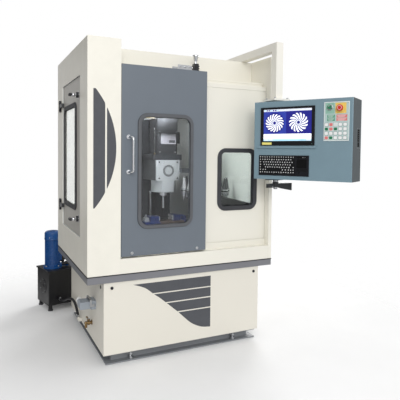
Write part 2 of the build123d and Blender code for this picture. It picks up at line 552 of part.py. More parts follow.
MU, MV = 80.0, 118.0
pm = tc(MU, MV, tz1, tz1 + 16, 72) + tc(MU, MV, tz1 + 15, 545, 56)
fan = tc(MU, MV, 540, 606, 62)
fan = fillet(fan.edges().group_by(Axis.Z)[-1], 18)
pm += fan
pm += tb(MU + 40, MU + 98, MV - 40, MV + 40, 372, 440)
pm += Pos(MU + 62, MV - 28, tz1 + 22) * Rot(0, 90, 0) * Cylinder(15, 90)
pm += Pos(MU + 104, MV - 28, tz1 + 22) * Rot(0, 90, 0) * Cylinder(20, 16)
save("pump_motor", tank_place(pm))
print("done")
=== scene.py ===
import bpy
import bmesh
import math
import random
from mathutils import Matrix, Vector


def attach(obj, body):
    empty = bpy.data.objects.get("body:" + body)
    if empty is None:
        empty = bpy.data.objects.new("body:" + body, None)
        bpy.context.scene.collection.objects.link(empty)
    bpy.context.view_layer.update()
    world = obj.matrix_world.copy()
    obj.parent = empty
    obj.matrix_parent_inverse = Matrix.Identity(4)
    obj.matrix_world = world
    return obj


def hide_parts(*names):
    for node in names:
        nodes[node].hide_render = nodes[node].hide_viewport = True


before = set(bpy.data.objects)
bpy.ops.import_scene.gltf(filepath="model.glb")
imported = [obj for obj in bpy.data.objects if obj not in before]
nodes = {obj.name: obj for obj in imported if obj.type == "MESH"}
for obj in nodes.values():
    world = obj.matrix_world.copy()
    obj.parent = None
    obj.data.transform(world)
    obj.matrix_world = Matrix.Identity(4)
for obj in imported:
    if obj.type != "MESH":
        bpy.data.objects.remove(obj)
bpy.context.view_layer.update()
scene = bpy.context.scene
random.seed(7)

# ------------------------------------------------------------------ frames of reference, millimetres to metres
OX, OY = 617.5, 508.0
MF = Matrix.Diagonal((0.001, 0.001, 0.001, 1)) @ Matrix.Translation((-OX, -OY, 0))
PIV, PEND_A, P_Z, P_U0 = (1150.0, -159.0), math.radians(-59.25), 1554.0, 111.0
MP = (MF @ Matrix.Translation((PIV[0], PIV[1], P_Z)) @ Matrix.Rotation(PEND_A, 4, "Z")
      @ Matrix(((1, 0, 0, -P_U0), (0, 0, -1, 0), (0, -1, 0, 0), (0, 0, 0, 1))))
MT = MF @ Matrix.Translation((-58, 1090, 0)) @ Matrix.Rotation(math.radians(14), 4, "Z")
PF = 87.5            # pendant front face, from its mid-depth


def F(x, y, z):
    return MF @ Vector((x, y, z))


def lin(r, g, b):
    def one(c):
        c /= 255
        return c / 12.92 if c <= 0.04045 else ((c + 0.055) / 1.055) ** 2.4
    return (one(r), one(g), one(b), 1.0)


# ------------------------------------------------------------------ materials
MATS = {}


def new_mat(name):
    m = bpy.data.materials.new(name)
    m.use_nodes = True
    nt = m.node_tree
    nt.nodes.clear()
    out = nt.nodes.new("ShaderNodeOutputMaterial")
    b = nt.nodes.new("ShaderNodeBsdfPrincipled")
    nt.links.new(b.outputs[0], out.inputs[0])
    MATS[name] = m
    return m, nt, b


def coords(nt, scale=(1, 1, 1)):
    tc = nt.nodes.new("ShaderNodeTexCoord")
    mp = nt.nodes.new("ShaderNodeMapping")
    mp.inputs["Scale"].default_value = scale
    nt.links.new(tc.outputs["Object"], mp.inputs["Vector"])
    return mp.outputs["Vector"]


def noise(nt, vec, scale, detail=3, rough=0.5):
    n = nt.nodes.new("ShaderNodeTexNoise")
    n.inputs["Scale"].default_value = scale
    n.inputs["Detail"].default_value = detail
    n.inputs["Roughness"].default_value = rough
    nt.links.new(vec, n.inputs["Vector"])
    return n.outputs["Fac"]


def ramp(nt, fac, stops):
    r = nt.nodes.new("ShaderNodeValToRGB")
    el = r.color_ramp.elements
    while len(el) < len(stops):
        el.new(0.5)
    for e, (p, c) in zip(el, stops):
        e.position = p
        e.color = c
    nt.links.new(fac, r.inputs["Fac"])
    return r.outputs["Color"]


def span(nt, fac, lo, hi):
    m = nt.nodes.new("ShaderNodeMapRange")
    m.inputs["From Min"].default_value = 0.25
    m.inputs["From Max"].default_value = 0.75
    m.inputs["To Min"].default_value = lo
    m.inputs["To Max"].default_value = hi
    nt.links.new(fac, m.inputs["Value"])
    return m.outputs["Result"]


def mixc(nt, fac, a, b, mode="MIX"):
    m = nt.nodes.new("ShaderNodeMix")
    m.data_type = "RGBA"
    m.blend_type = mode
    if isinstance(fac, (int, float)):
        m.inputs["Factor"].default_value = fac
    else:
        nt.links.new(fac, m.inputs["Factor"])
    for i, c in ((6, a), (7, b)):
        if isinstance(c, tuple):
            m.inputs[i].default_value = c
        else:
            nt.links.new(c, m.inputs[i])
    return m.outputs[2]


def bump(nt, b, height, strength, dist):
    n = nt.nodes.new("ShaderNodeBump")
    n.inputs["Strength"].default_value = strength
    n.inputs["Distance"].default_value = dist
    nt.links.new(height, n.inputs["Height"])
    nt.links.new(n.outputs["Normal"], b.inputs["Normal"])


def shade(c, k):
    return (min(1, c[0] * k), min(1, c[1] * k), min(1, c[2] * k), 1.0)


def paint(name, col, rough=0.42, peel=700, depth=0.00025, var=0.05, coat=0.0, speck=0.0, strength=0.35):
    """Sprayed or powder-coated metal: slow tone drift, fine peel in the gloss and the surface."""
    m, nt, b = new_mat(name)
    v = coords(nt)
    slow = noise(nt, v, 3.0, 4)
    base = ramp(nt, slow, [(0.3, shade(col, 1 - var)), (0.7, shade(col, 1 + var * 0.6))])
    fine = noise(nt, v, peel, 2)
    if speck:
        dots = noise(nt, v, peel * 1.7, 1)
        base = mixc(nt, span(nt, dots, 0.0, speck), base, shade(col, 0.62))
    nt.links.new(base, b.inputs["Base Color"])
    nt.links.new(span(nt, noise(nt, v, 9.0, 5), rough - 0.06, rough + 0.08), b.inputs["Roughness"])
    bump(nt, b, fine, strength, depth)
    if coat:
        b.inputs["Coat Weight"].default_value = coat
        b.inputs["Coat Roughness"].default_value = 0.12
    return m


def metal(name, col, rough=0.3, grain=(1, 1, 1), scale=400, depth=0.0001, var=0.08, strength=0.3):
    """Bare or plated metal: streaks drawn out along the low axis of grain."""
    m, nt, b = new_mat(name)
    v = coords(nt, grain)
    streak = noise(nt, v, scale, 3, 0.6)
    base = ramp(nt, streak, [(0.25, shade(col, 1 - var)), (0.75, shade(col, 1 + var))])
    nt.links.new(base, b.inputs["Base Color"])
    b.inputs["Metallic"].default_value = 1.0
    nt.links.new(span(nt, streak, rough - 0.07, rough + 0.1), b.inputs["Roughness"])
    bump(nt, b, streak, strength, depth)
    return m


def plastic(name, col, rough=0.45, scale=900, depth=0.00012, var=0.06, strength=0.3):
    m, nt, b = new_mat(name)
    v = coords(nt)
    base = ramp(nt, noise(nt, v, 14.0, 4), [(0.3, shade(col, 1 - var)), (0.7, shade(col, 1 + var))])
    nt.links.new(base, b.inputs["Base Color"])
    nt.links.new(span(nt, noise(nt, v, 30.0, 4), rough - 0.05, rough + 0.07), b.inputs["Roughness"])
    bump(nt, b, noise(nt, v, scale, 2), strength, depth)
    return m


def glass(name, col, rough=0.03, film=0.35):
    """Clear sheet: tinted, with faint wiped haze in the gloss."""
    m, nt, b = new_mat(name)
    v = coords(nt, (1, 1, 0.35))
    base = ramp(nt, noise(nt, v, 5.0, 3), [(0.3, shade(col, 0.96)), (0.7, shade(col, 1.03))])
    nt.links.new(base, b.inputs["Base Color"])
    b.inputs["Transmission Weight"].default_value = 1.0
    b.inputs["IOR"].default_value = 1.45
    nt.links.new(span(nt, noise(nt, v, 7.0, 5), max(0.0, rough - 0.03), rough + 0.03), b.inputs["Roughness"])
    return m


def glow(name, col, power, var=0.06, scale=40):
    """Lit surface, such as a display field or a lamp diffuser."""
    m, nt, b = new_mat(name)
    v = coords(nt)
    base = ramp(nt, noise(nt, v, scale, 2), [(0.3, shade(col, 1 - var)), (0.7, shade(col, 1 + var))])
    nt.links.new(base, b.inputs["Base Color"])
    nt.links.new(base, b.inputs["Emission Color"])
    b.inputs["Emission Strength"].default_value = power
    b.inputs["Roughness"].default_value = 0.25
    return m


CREAM = paint("cream_powder", lin(234, 231, 220), 0.45, 650, 0.0002, 0.010, speck=0.05)
CREAM_IN = paint("cream_inner", lin(205, 203, 196), 0.5, 500, 0.0002, 0.05)
DOORGREY = paint("door_grey_powder", lin(106, 114, 123), 0.42, 650, 0.0002, 0.05, speck=0.10)
BAND = paint("band_grey_enamel", lin(120, 121, 126), 0.38, 420, 0.00018, 0.05)
# base_cream_powder is the enclosure's cream made a shade darker: painted shade of the base under the tray's overhang
BASECREAM = paint("base_cream_powder", lin(225, 221, 210), 0.45, 650, 0.0002, 0.012, speck=0.05)
PLINTH = paint("plinth_enamel", lin(132, 135, 139), 0.5, 260, 0.0004, 0.10, speck=0.15)
PENDANT = paint("pendant_powder", lin(122, 147, 159), 0.40, 700, 0.0002, 0.04, speck=0.08)
ARM = paint("arm_cream_powder", lin(240, 237, 228), 0.45, 650, 0.0002, 0.03, speck=0.05)
RUBBER = plastic("profile_rubber", lin(54, 55, 59), 0.62, 1200, 0.0002, 0.12)
GREYRUBBER = plastic("grey_rubber", lin(86, 88, 92), 0.6, 1200, 0.0002, 0.08)
MONBLACK = plastic("bezel_black", lin(20, 21, 26), 0.30, 1400, 0.00006, 0.10)
HOSE = plastic("hose_rubber", lin(30, 30, 33), 0.5, 700, 0.0002, 0.15)
SMOKED = glass("smoked_sheet", lin(154, 157, 160), 0.02)
CLEAR = glass("clear_sheet", lin(230, 239, 236), 0.03)
# side window sheet: pale white base and only two thirds transmission, so a third shows as opaque pale white; painted
# reflection that makes the side window read pale
PALE_SIDE_GLASS = glass("side_sheet", lin(236, 239, 233), 0.04)
PALE_SIDE_GLASS.node_tree.nodes["Principled BSDF"].inputs["Transmission Weight"].default_value = 0.66
CHROME = metal("polished_chrome", lin(222, 223, 226), 0.12, (1, 1, 0.2), 300, 0.00002, 0.03)
ZINC = metal("zinc_plate", lin(190, 192, 195), 0.32, (1, 1, 1), 160, 0.00008, 0.10)
BLACKSTEEL = metal("black_oxide", lin(60, 60, 64), 0.38, (1, 1, 1), 220, 0.00008, 0.15)
GROUND = metal("ground_steel", lin(196, 198, 200), 0.30, (0.06, 1, 1), 900, 0.00006, 0.12)
TURNED = metal("turned_steel", lin(205, 207, 210), 0.24, (0.1, 0.1, 1), 1400, 0.00005, 0.10)
IRON = paint("machine_casting", lin(128, 133, 138), 0.48, 180, 0.0006, 0.08, speck=0.1)
SILVER = paint("head_silver", lin(206, 210, 211), 0.36, 500, 0.00012, 0.03)
MOTORBLACK = paint("motor_black", lin(58, 59, 62), 0.42, 380, 0.0003, 0.15)
VICEBLUE = paint("vice_blue", lin(36, 72, 150), 0.35, 300, 0.0003, 0.12)
PUMPBLUE = paint("pump_blue", lin(12, 72, 134), 0.26, 240, 0.0003, 0.10, coat=0.4)
TANKBLACK = paint("tank_black", lin(14, 14, 17), 0.36, 220, 0.0004, 0.2)
BRASS = metal("plain_brass", lin(146, 122, 86), 0.34, (1, 1, 1), 200, 0.0001, 0.14)
DIECAST = paint("diecast_grey", lin(150, 157, 165), 0.44, 300, 0.0003, 0.06)
BLACKPLASTIC = plastic("moulded_black", lin(34, 35, 38), 0.42)
DRIVEGREY = plastic("moulded_grey", lin(120, 124, 128), 0.5)
PANELWHITE = plastic("membrane_white", lin(222, 225, 224), 0.38, 1500, 0.00006, 0.03)
MINT = plastic("membrane_mint", lin(184, 206, 203), 0.40, 1500, 0.00006, 0.03)
GREEN = plastic("moulded_green", lin(38, 120, 84), 0.35)
RED = plastic("moulded_red", lin(206, 44, 34), 0.32)


def zoned(name, base, zones, peel=500, depth=0.00015):
    """One node, several finishes: each zone is a list of (axis, sign, limit) tests in metres, then colour, roughness, metallic."""
    m, nt, b = new_mat(name)
    v = coords(nt)
    sep = nt.nodes.new("ShaderNodeSeparateXYZ")
    nt.links.new(v, sep.inputs[0])
    slow = noise(nt, v, 12.0, 4)

    def tone(c, var=0.02):
        return ramp(nt, slow, [(0.3, shade(c, 1 - var)), (0.7, shade(c, 1 + var))])

    def mixv(fac, a, bb):
        k = nt.nodes.new("ShaderNodeMix")
        nt.links.new(fac, k.inputs["Factor"])
        for i, x in ((2, a), (3, bb)):
            if isinstance(x, (int, float)):
                k.inputs[i].default_value = x
            else:
                nt.links.new(x, k.inputs[i])
        return k.outputs[0]

    col, rough, met = tone(base[0]), base[1], base[2]
    roughs, mets = {base[1]} | {z[2] for z in zones}, {base[2]} | {z[3] for z in zones}
    for tests, c, r, mt in zones:
        mask = None
        for axis, sign, limit in tests:
            g_ = nt.nodes.new("ShaderNodeMath")
            g_.operation = "GREATER_THAN" if sign > 0 else "LESS_THAN"
            if isinstance(axis, tuple):
                d_ = nt.nodes.new("ShaderNodeVectorMath")
                d_.operation = "DOT_PRODUCT"
                d_.inputs[1].default_value = axis
                nt.links.new(v, d_.inputs[0])
                nt.links.new(d_.outputs["Value"], g_.inputs[0])
            else:
                nt.links.new(sep.outputs[axis], g_.inputs[0])
            g_.inputs[1].default_value = limit
            if mask is None:
                mask = g_.outputs[0]
            else:
                p_ = nt.nodes.new("ShaderNodeMath")
                p_.operation = "MULTIPLY"
                nt.links.new(mask, p_.inputs[0])
                nt.links.new(g_.outputs[0], p_.inputs[1])
                mask = p_.outputs[0]
        col = mixc(nt, mask, col, tone(c))
        if len(roughs) > 1:
            rough = mixv(mask, rough, r)
        if len(mets) > 1:
            met = mixv(mask, met, mt)
    nt.links.new(col, b.inputs["Base Color"])
    if isinstance(met, (int, float)):
        b.inputs["Metallic"].default_value = met
    else:
        nt.links.new(met, b.inputs["Metallic"])
    add = nt.nodes.new("ShaderNodeMath")
    add.operation = "ADD"
    if isinstance(rough, (int, float)):
        add.inputs[0].default_value = rough
    else:
        nt.links.new(rough, add.inputs[0])
    nt.links.new(span(nt, noise(nt, v, 30.0, 4), -0.04, 0.06), add.inputs[1])
    nt.links.new(add.outputs[0], b.inputs["Roughness"])
    bump(nt, b, noise(nt, v, peel, 2), 0.3, depth)
    return m


STEEL_C, BLACK_C, SILVER_C, DARK_C = lin(200, 202, 205), lin(40, 41, 44), lin(206, 210, 211), lin(66, 68, 72)
SWITCH_Z = zoned("switch_body", (lin(32, 33, 36), 0.42, 0.0), [([(2, 1, 1.8135)], lin(205, 207, 210), 0.22, 1.0), ([(2, -1, 1.6905)], lin(160, 162, 166), 0.34, 1.0)])
CONNECT_Z = zoned("connector_body", (lin(150, 157, 165), 0.44, 0.0), [([(1, 1, -0.2288)], lin(228, 229, 226), 0.45, 0.0)])
HEAD_Z = zoned("head_casting", (lin(214, 218, 219), 0.34, 0.0), [([(2, 1, 1.0476), (1, 1, -0.1615)], lin(104, 107, 111), 0.42, 0.0), ([(2, 1, 1.1862)], lin(58, 60, 65), 0.45, 0.0),
                                                            ([(1, 1, 0.098)], lin(58, 60, 64), 0.48, 0.0)])
UD = (math.cos(PEND_A), math.sin(PEND_A), 0.0)
U_END = (PIV[0] - OX) * 0.001 * UD[0] + (PIV[1] - OY) * 0.001 * UD[1] + (609.6 - P_U0) * 0.001
# the first zone, past U_END along the pendant, paints the housing's right end darker grey than its front: painted
# shade of that side
HOUSING_Z = zoned("pendant_shell", (lin(122, 147, 159), 0.40, 0.0), [([(UD, 1, U_END)], lin(74, 82, 86), 0.5, 0.0), ([(2, -1, 1.0778)], lin(30, 30, 32), 0.45, 0.0), ([(2, -1, 1.0698)], lin(190, 192, 196), 0.25, 1.0),
                                                              ([(2, 1, 1.5545)], lin(214, 220, 216), 0.42, 0.0)], 700, 0.0002)
# the zone above z 0.9722 m and below x 0.255 m paints the stored tool cones seen through the door window near white:
# painted highlight on those cones only, the others keep the dark steel
CARO_Z = zoned("carousel_steel", (lin(44, 45, 49), 0.40, 0.6), [([(2, 1, 0.9722)], lin(52, 53, 57), 0.30, 0.6), ([(2, 1, 0.9722), (0, -1, 0.255)], lin(240, 241, 242), 0.22, 0.3), ([(2, -1, 0.9418)], lin(170, 172, 176), 0.3, 0.6)])
VICE_Z = zoned("vice_casting", (lin(26, 52, 116), 0.35, 0.0), [([(0, 1, -0.0384), (0, -1, 0.1394), (2, -1, 0.7642)], lin(112, 96, 88), 0.3, 0.3), ([(0, 1, -0.0466), (0, -1, -0.030), (2, 1, 0.7645)], lin(226, 228, 230), 0.3, 0.3)])
LATCH_P = zoned("latch_moulding", (lin(34, 35, 38), 0.42, 0.0), [([(0, 1, -0.6525), (0, -1, -0.6246)], lin(205, 207, 210), 0.25, 1.0)])
INNER_C = lin(224, 226, 223)
# the service door's base grey is the walls' cream made darker: painted shade of the door in its recess
SERVICE_Z = zoned("service_door_sheet", (lin(184, 181, 174), 0.45, 0.0), [([(0, -1, -0.6101)], lin(44, 45, 48), 0.42, 0.0)], 650, 0.0002)
REAR_Z = zoned("rear_sheet", (lin(234, 231, 220), 0.45, 0.0), [([(1, -1, 0.5055)], INNER_C, 0.42, 0.0)], 650, 0.0002)
RIGHT_Z = zoned("right_sheet", (lin(234, 231, 220), 0.45, 0.0), [([(0, -1, 0.6148), (1, 1, -0.4535), (2, -1, 1.6828)], INNER_C, 0.42, 0.0)], 650, 0.0002)
LEFT_Z = zoned("left_sheet", (lin(234, 231, 220), 0.45, 0.0), [([(0, 1, -0.6152), (0, -1, -0.4300), (1, 1, -0.5045), (2, -1, 1.8755)], INNER_C, 0.42, 0.0)], 650, 0.0002)
TUD = (math.cos(math.radians(14)), math.sin(math.radians(14)), 0.0)
U_BOX = (-58 - OX) * 0.001 * TUD[0] + (1090 - OY) * 0.001 * TUD[1] + 0.1375
PUMP_Z = zoned("pump_casting", (lin(12, 72, 134), 0.28, 0.0), [([(TUD, 1, U_BOX), (2, 1, 0.331), (2, -1, 0.446)], lin(30, 30, 33), 0.42, 0.0)], 240, 0.0003)
COLUMN_P = paint("column_casting", lin(62, 65, 70), 0.5, 180, 0.0006, 0.10, speck=0.1)
NOSE = metal("spindle_steel", lin(238, 240, 242), 0.22, (0.1, 0.1, 1), 1400, 0.00004, 0.06)
NOSE.node_tree.nodes["Principled BSDF"].inputs["Metallic"].default_value = 0.25
JAW_Z = zoned("vice_jaw_casting", (lin(26, 52, 116), 0.35, 0.0), [([(0, -1, 0.0604)], lin(226, 228, 230), 0.3, 0.3)])

GROUND.node_tree.nodes["Principled BSDF"].inputs["Metallic"].default_value = 0.6
NODE_MAT = {
    "plinth_frame": PLINTH, "leveling_bolts": ZINC, "base_cabinet": BASECREAM, "base_front_panel": BASECREAM,
    "base_panel_screws": BLACKSTEEL, "support_tray": BAND, "drive_modules": DRIVEGREY, "power_connector": CONNECT_Z,
    "connector_lever": ZINC, "drain_valve_body": BRASS, "drain_lever": BRASS, "left_wall": LEFT_Z, "right_wall": RIGHT_Z,
    "rear_wall": REAR_Z, "roof_header": CREAM, "front_sill": CREAM, "fixed_panel": CREAM, "fixed_gasket": RUBBER,
    "fixed_glass": CLEAR, "door_track": CREAM, "interlock_switch": SWITCH_Z, "door_panel": DOORGREY,
    "door_gasket": GREYRUBBER, "door_glass": SMOKED, "door_handle": CHROME, "door_hangers": ZINC, "service_door": SERVICE_Z,
    "service_gasket": RUBBER, "service_glass": PALE_SIDE_GLASS, "service_hinges": BLACKSTEEL, "upper_latch": LATCH_P,
    "lower_latch": LATCH_P, "machine_bed": COLUMN_P, "column": COLUMN_P, "saddle": COLUMN_P, "table": GROUND,
    "vice_body": VICE_Z, "vice_jaw": JAW_Z, "vice_screw": TURNED, "x_screw": TURNED, "y_screw": TURNED,
    "z_screw": TURNED, "axis_motors": MOTORBLACK, "spindle_head": HEAD_Z, "spindle_motor": MOTORBLACK,
    "spindle": NOSE, "atc_bracket": IRON, "carousel": CARO_Z, "pendant_arm": ARM, "pendant_housing": HOUSING_Z,
    "pendant_cover": PENDANT, "monitor": MONBLACK, "keyboard": MONBLACK, "keypad_plate": MINT,
    "selector_knob": GREEN, "estop_button": RED, "clamp_lever": BLACKPLASTIC, "coolant_tank": TANKBLACK,
    "pump_motor": PUMP_Z, "return_hose": HOSE,
}
for n, o in nodes.items():
    o.data.materials.clear()
    o.data.materials.append(NODE_MAT[n])

# eased edges on the sheet-metal and cast parts
EASE = {"left_wall": 1.6, "right_wall": 1.6, "roof_header": 1.2, "front_sill": 1.2, "fixed_panel": 1.0, "base_cabinet": 1.4,
        "support_tray": 1.2, "rear_wall": 1.0, "door_panel": 1.0, "plinth_frame": 1.0, "service_door": 1.2, "pendant_housing": 1.5, "pendant_cover": 1.0, "pendant_arm": 1.6,
        "coolant_tank": 1.2, "monitor": 1.0, "keyboard": 1.0, "keypad_plate": 0.8, "spindle_head": 2.0, "vice_body": 1.2, "vice_jaw": 1.2,
        "table": 0.8, "column": 1.5, "machine_bed": 1.5, "saddle": 1.2, "interlock_switch": 0.8, "power_connector": 1.2, "service_hinges": 0.8,
        "spindle_motor": 1.2, "axis_motors": 1.5, "atc_bracket": 1.5, "connector_lever": 0.6, "clamp_lever": 1.5, "door_hangers": 0.6, "drive_modules": 1.0}
for n, w_ in EASE.items():
    o = nodes[n]
    md = o.modifiers.new("weld", "WELD")
    md.merge_threshold = 0.00001
    md = o.modifiers.new("ease", "BEVEL")
    md.width = w_ * 0.001
    md.segments = 2
    md.limit_method = "ANGLE"
    md.angle_limit = math.radians(40)
    md.harden_normals = True
    md.use_clamp_overlap = True

# ------------------------------------------------------------------ camera at the photograph's place
yaw, pitch, roll = math.radians(25.93), math.radians(-2.13), math.radians(0.58)
fw = Vector((math.sin(yaw) * math.cos(pitch), math.cos(yaw) * math.cos(pitch), math.sin(pitch)))
rt = Vector((math.cos(yaw), -math.sin(yaw), 0))
up = rt.cross(fw)
rt2 = rt * math.cos(roll) + up * math.sin(roll)
up2 = up * math.cos(roll) - rt * math.sin(roll)
cam_data = bpy.data.cameras.new("camera")
cam = bpy.data.objects.new("camera", cam_data)
scene.collection.objects.link(cam)
m3 = Matrix((rt2, up2, -fw)).transposed()
cam.matrix_world = Matrix.Translation((-1.1725, -3.079, 1.230)) @ m3.to_4x4()
cam_data.sensor_width = 36
cam_data.lens = 461 / 400 * 36
cam_data.shift_y = -29 / 400
cam_data.clip_end = 100
scene.camera = cam

# ------------------------------------------------------------------ floor, studio light
wd = bpy.data.worlds.new("studio")
scene.world = wd
wd.use_nodes = True
nt = wd.node_tree
nt.nodes.clear()
wo = nt.nodes.new("ShaderNodeOutputWorld")
bg = nt.nodes.new("ShaderNodeBackground")
tcw = nt.nodes.new("ShaderNodeTexCoord")
dot = nt.nodes.new("ShaderNodeVectorMath")
dot.operation = "DOT_PRODUCT"
dot.inputs[1].default_value = Vector((0.24, -0.74, 0.62)).normalized()
nt.links.new(tcw.outputs["Generated"], dot.inputs[0])
mr = nt.nodes.new("ShaderNodeMapRange")
mr.interpolation_type = "SMOOTHSTEP"
mr.inputs["From Min"].default_value = -1.0
mr.inputs["From Max"].default_value = 0.9
mr.inputs["To Min"].default_value = 0.03
mr.inputs["To Max"].default_value = 0.82
nt.links.new(dot.outputs["Value"], mr.inputs["Value"])
lp = nt.nodes.new("ShaderNodeLightPath")
pick = nt.nodes.new("ShaderNodeMix")
pick.inputs["B"].default_value = 1.0
nt.links.new(lp.outputs["Is Camera Ray"], pick.inputs["Factor"])
nt.links.new(mr.outputs["Result"], pick.inputs["A"])
nt.links.new(pick.outputs["Result"], bg.inputs["Strength"])
bg.inputs["Color"].default_value = (1.0, 1.0, 1.0, 1)
nt.links.new(bg.outputs[0], wo.inputs[0])
scene.view_settings.view_transform = "Standard"

me = bpy.data.meshes.new("studio_floor")
bm = bmesh.new()
bmesh.ops.create_circle(bm, cap_ends=True, segments=96, radius=9.0)
bm.to_mesh(me)
bm.free()
floor = bpy.data.objects.new("studio_floor", me)
scene.collection.objects.link(floor)
floor.location = (0, 0, -0.0005)
fm, nt, b = new_mat("floor_pale")
v = coords(nt)
nt.links.new(ramp(nt, noise(nt, v, 2.0, 3), [(0.3, (0.83, 0.83, 0.83, 1)), (0.7, (0.87, 0.87, 0.87, 1))]), b.inputs["Base Color"])
b.inputs["Roughness"].default_value = 0.7
vl = nt.nodes.new("ShaderNodeVectorMath")
vl.operation = "LENGTH"
nt.links.new(v, vl.inputs[0])
fade = nt.nodes.new("ShaderNodeMapRange")
fade.interpolation_type = "SMOOTHSTEP"
fade.inputs["From Min"].default_value = 0.7
fade.inputs["From Max"].default_value = 2.6
fade.inputs["To Min"].default_value = 1.0
fade.inputs["To Max"].default_value = 0.0
nt.links.new(vl.outputs["Value"], fade.inputs["Value"])
nt.links.new(fade.outputs["Result"], b.inputs["Alpha"])
me.materials.append(fm)


def area(name, loc, aim, size, power, col=(1, 1, 1)):
    d = bpy.data.lights.new(name, "AREA")
    d.shape = "RECTANGLE"
    d.size, d.size_y = size
    d.energy = power
    d.color = col
    o = bpy.data.objects.new(name, d)
    scene.collection.objects.link(o)
    o.location = loc
    o.rotation_euler = (Vector(aim) - Vector(loc)).to_track_quat("-Z", "Y").to_euler()
    return o


area("key_light", (-1.5, -4.9, 3.0), (0, 0, 1.1), (2.4, 2.2), 104)
area("top_light", (0.9, -0.6, 4.4), (0.2, 0, 1.0), (2.2, 3.0), 20)
area("back_light", (3.2, 3.9, 2.8), (0.2, 0.2, 0.9), (2.6, 2.2), 150)
area("rear_left_light", (-1.5, 5.0, 1.55), (-0.4, 0.5, 1.0), (1.7, 2.8), 20)
shine = area("chamber_light", F(470, 180, 1660), F(600, 500, 900), (0.30, 0.10), 9.0)
shine.visible_camera = shine.visible_transmission = False
glim = area("chamber_fill", F(400, 104, 1330), F(617, 420, 1060), (0.05, 0.46), 3.2)
glim.visible_camera = glim.visible_transmission = glim.visible_glossy = False
for nm, at, aim, sz, pw in (("motor_glint", F(548, 95, 1440), F(580, 335, 1425), (0.022, 0.10), 2.0), ("tool_glint", F(560, 110, 930), F(617, 425, 905), (0.03, 0.20), 2.2)):
    spark = area(nm, at, aim, sz, pw)
    spark.visible_camera = spark.visible_diffuse = False
work = area("work_light", F(500, 120, 960), F(600, 425, 770), (0.10, 0.04), 0.7)
work.visible_camera = work.visible_transmission = work.visible_glossy = False
rack = area("rack_light", F(740, 230, 1090), F(845, 545, 1010), (0.05, 0.05), 0.9)
rack.data.spread = math.radians(32)
rack.visible_camera = rack.visible_transmission = rack.visible_glossy = False

# ------------------------------------------------------------------ mesh helpers
MESH_EDGE = math.radians(32)


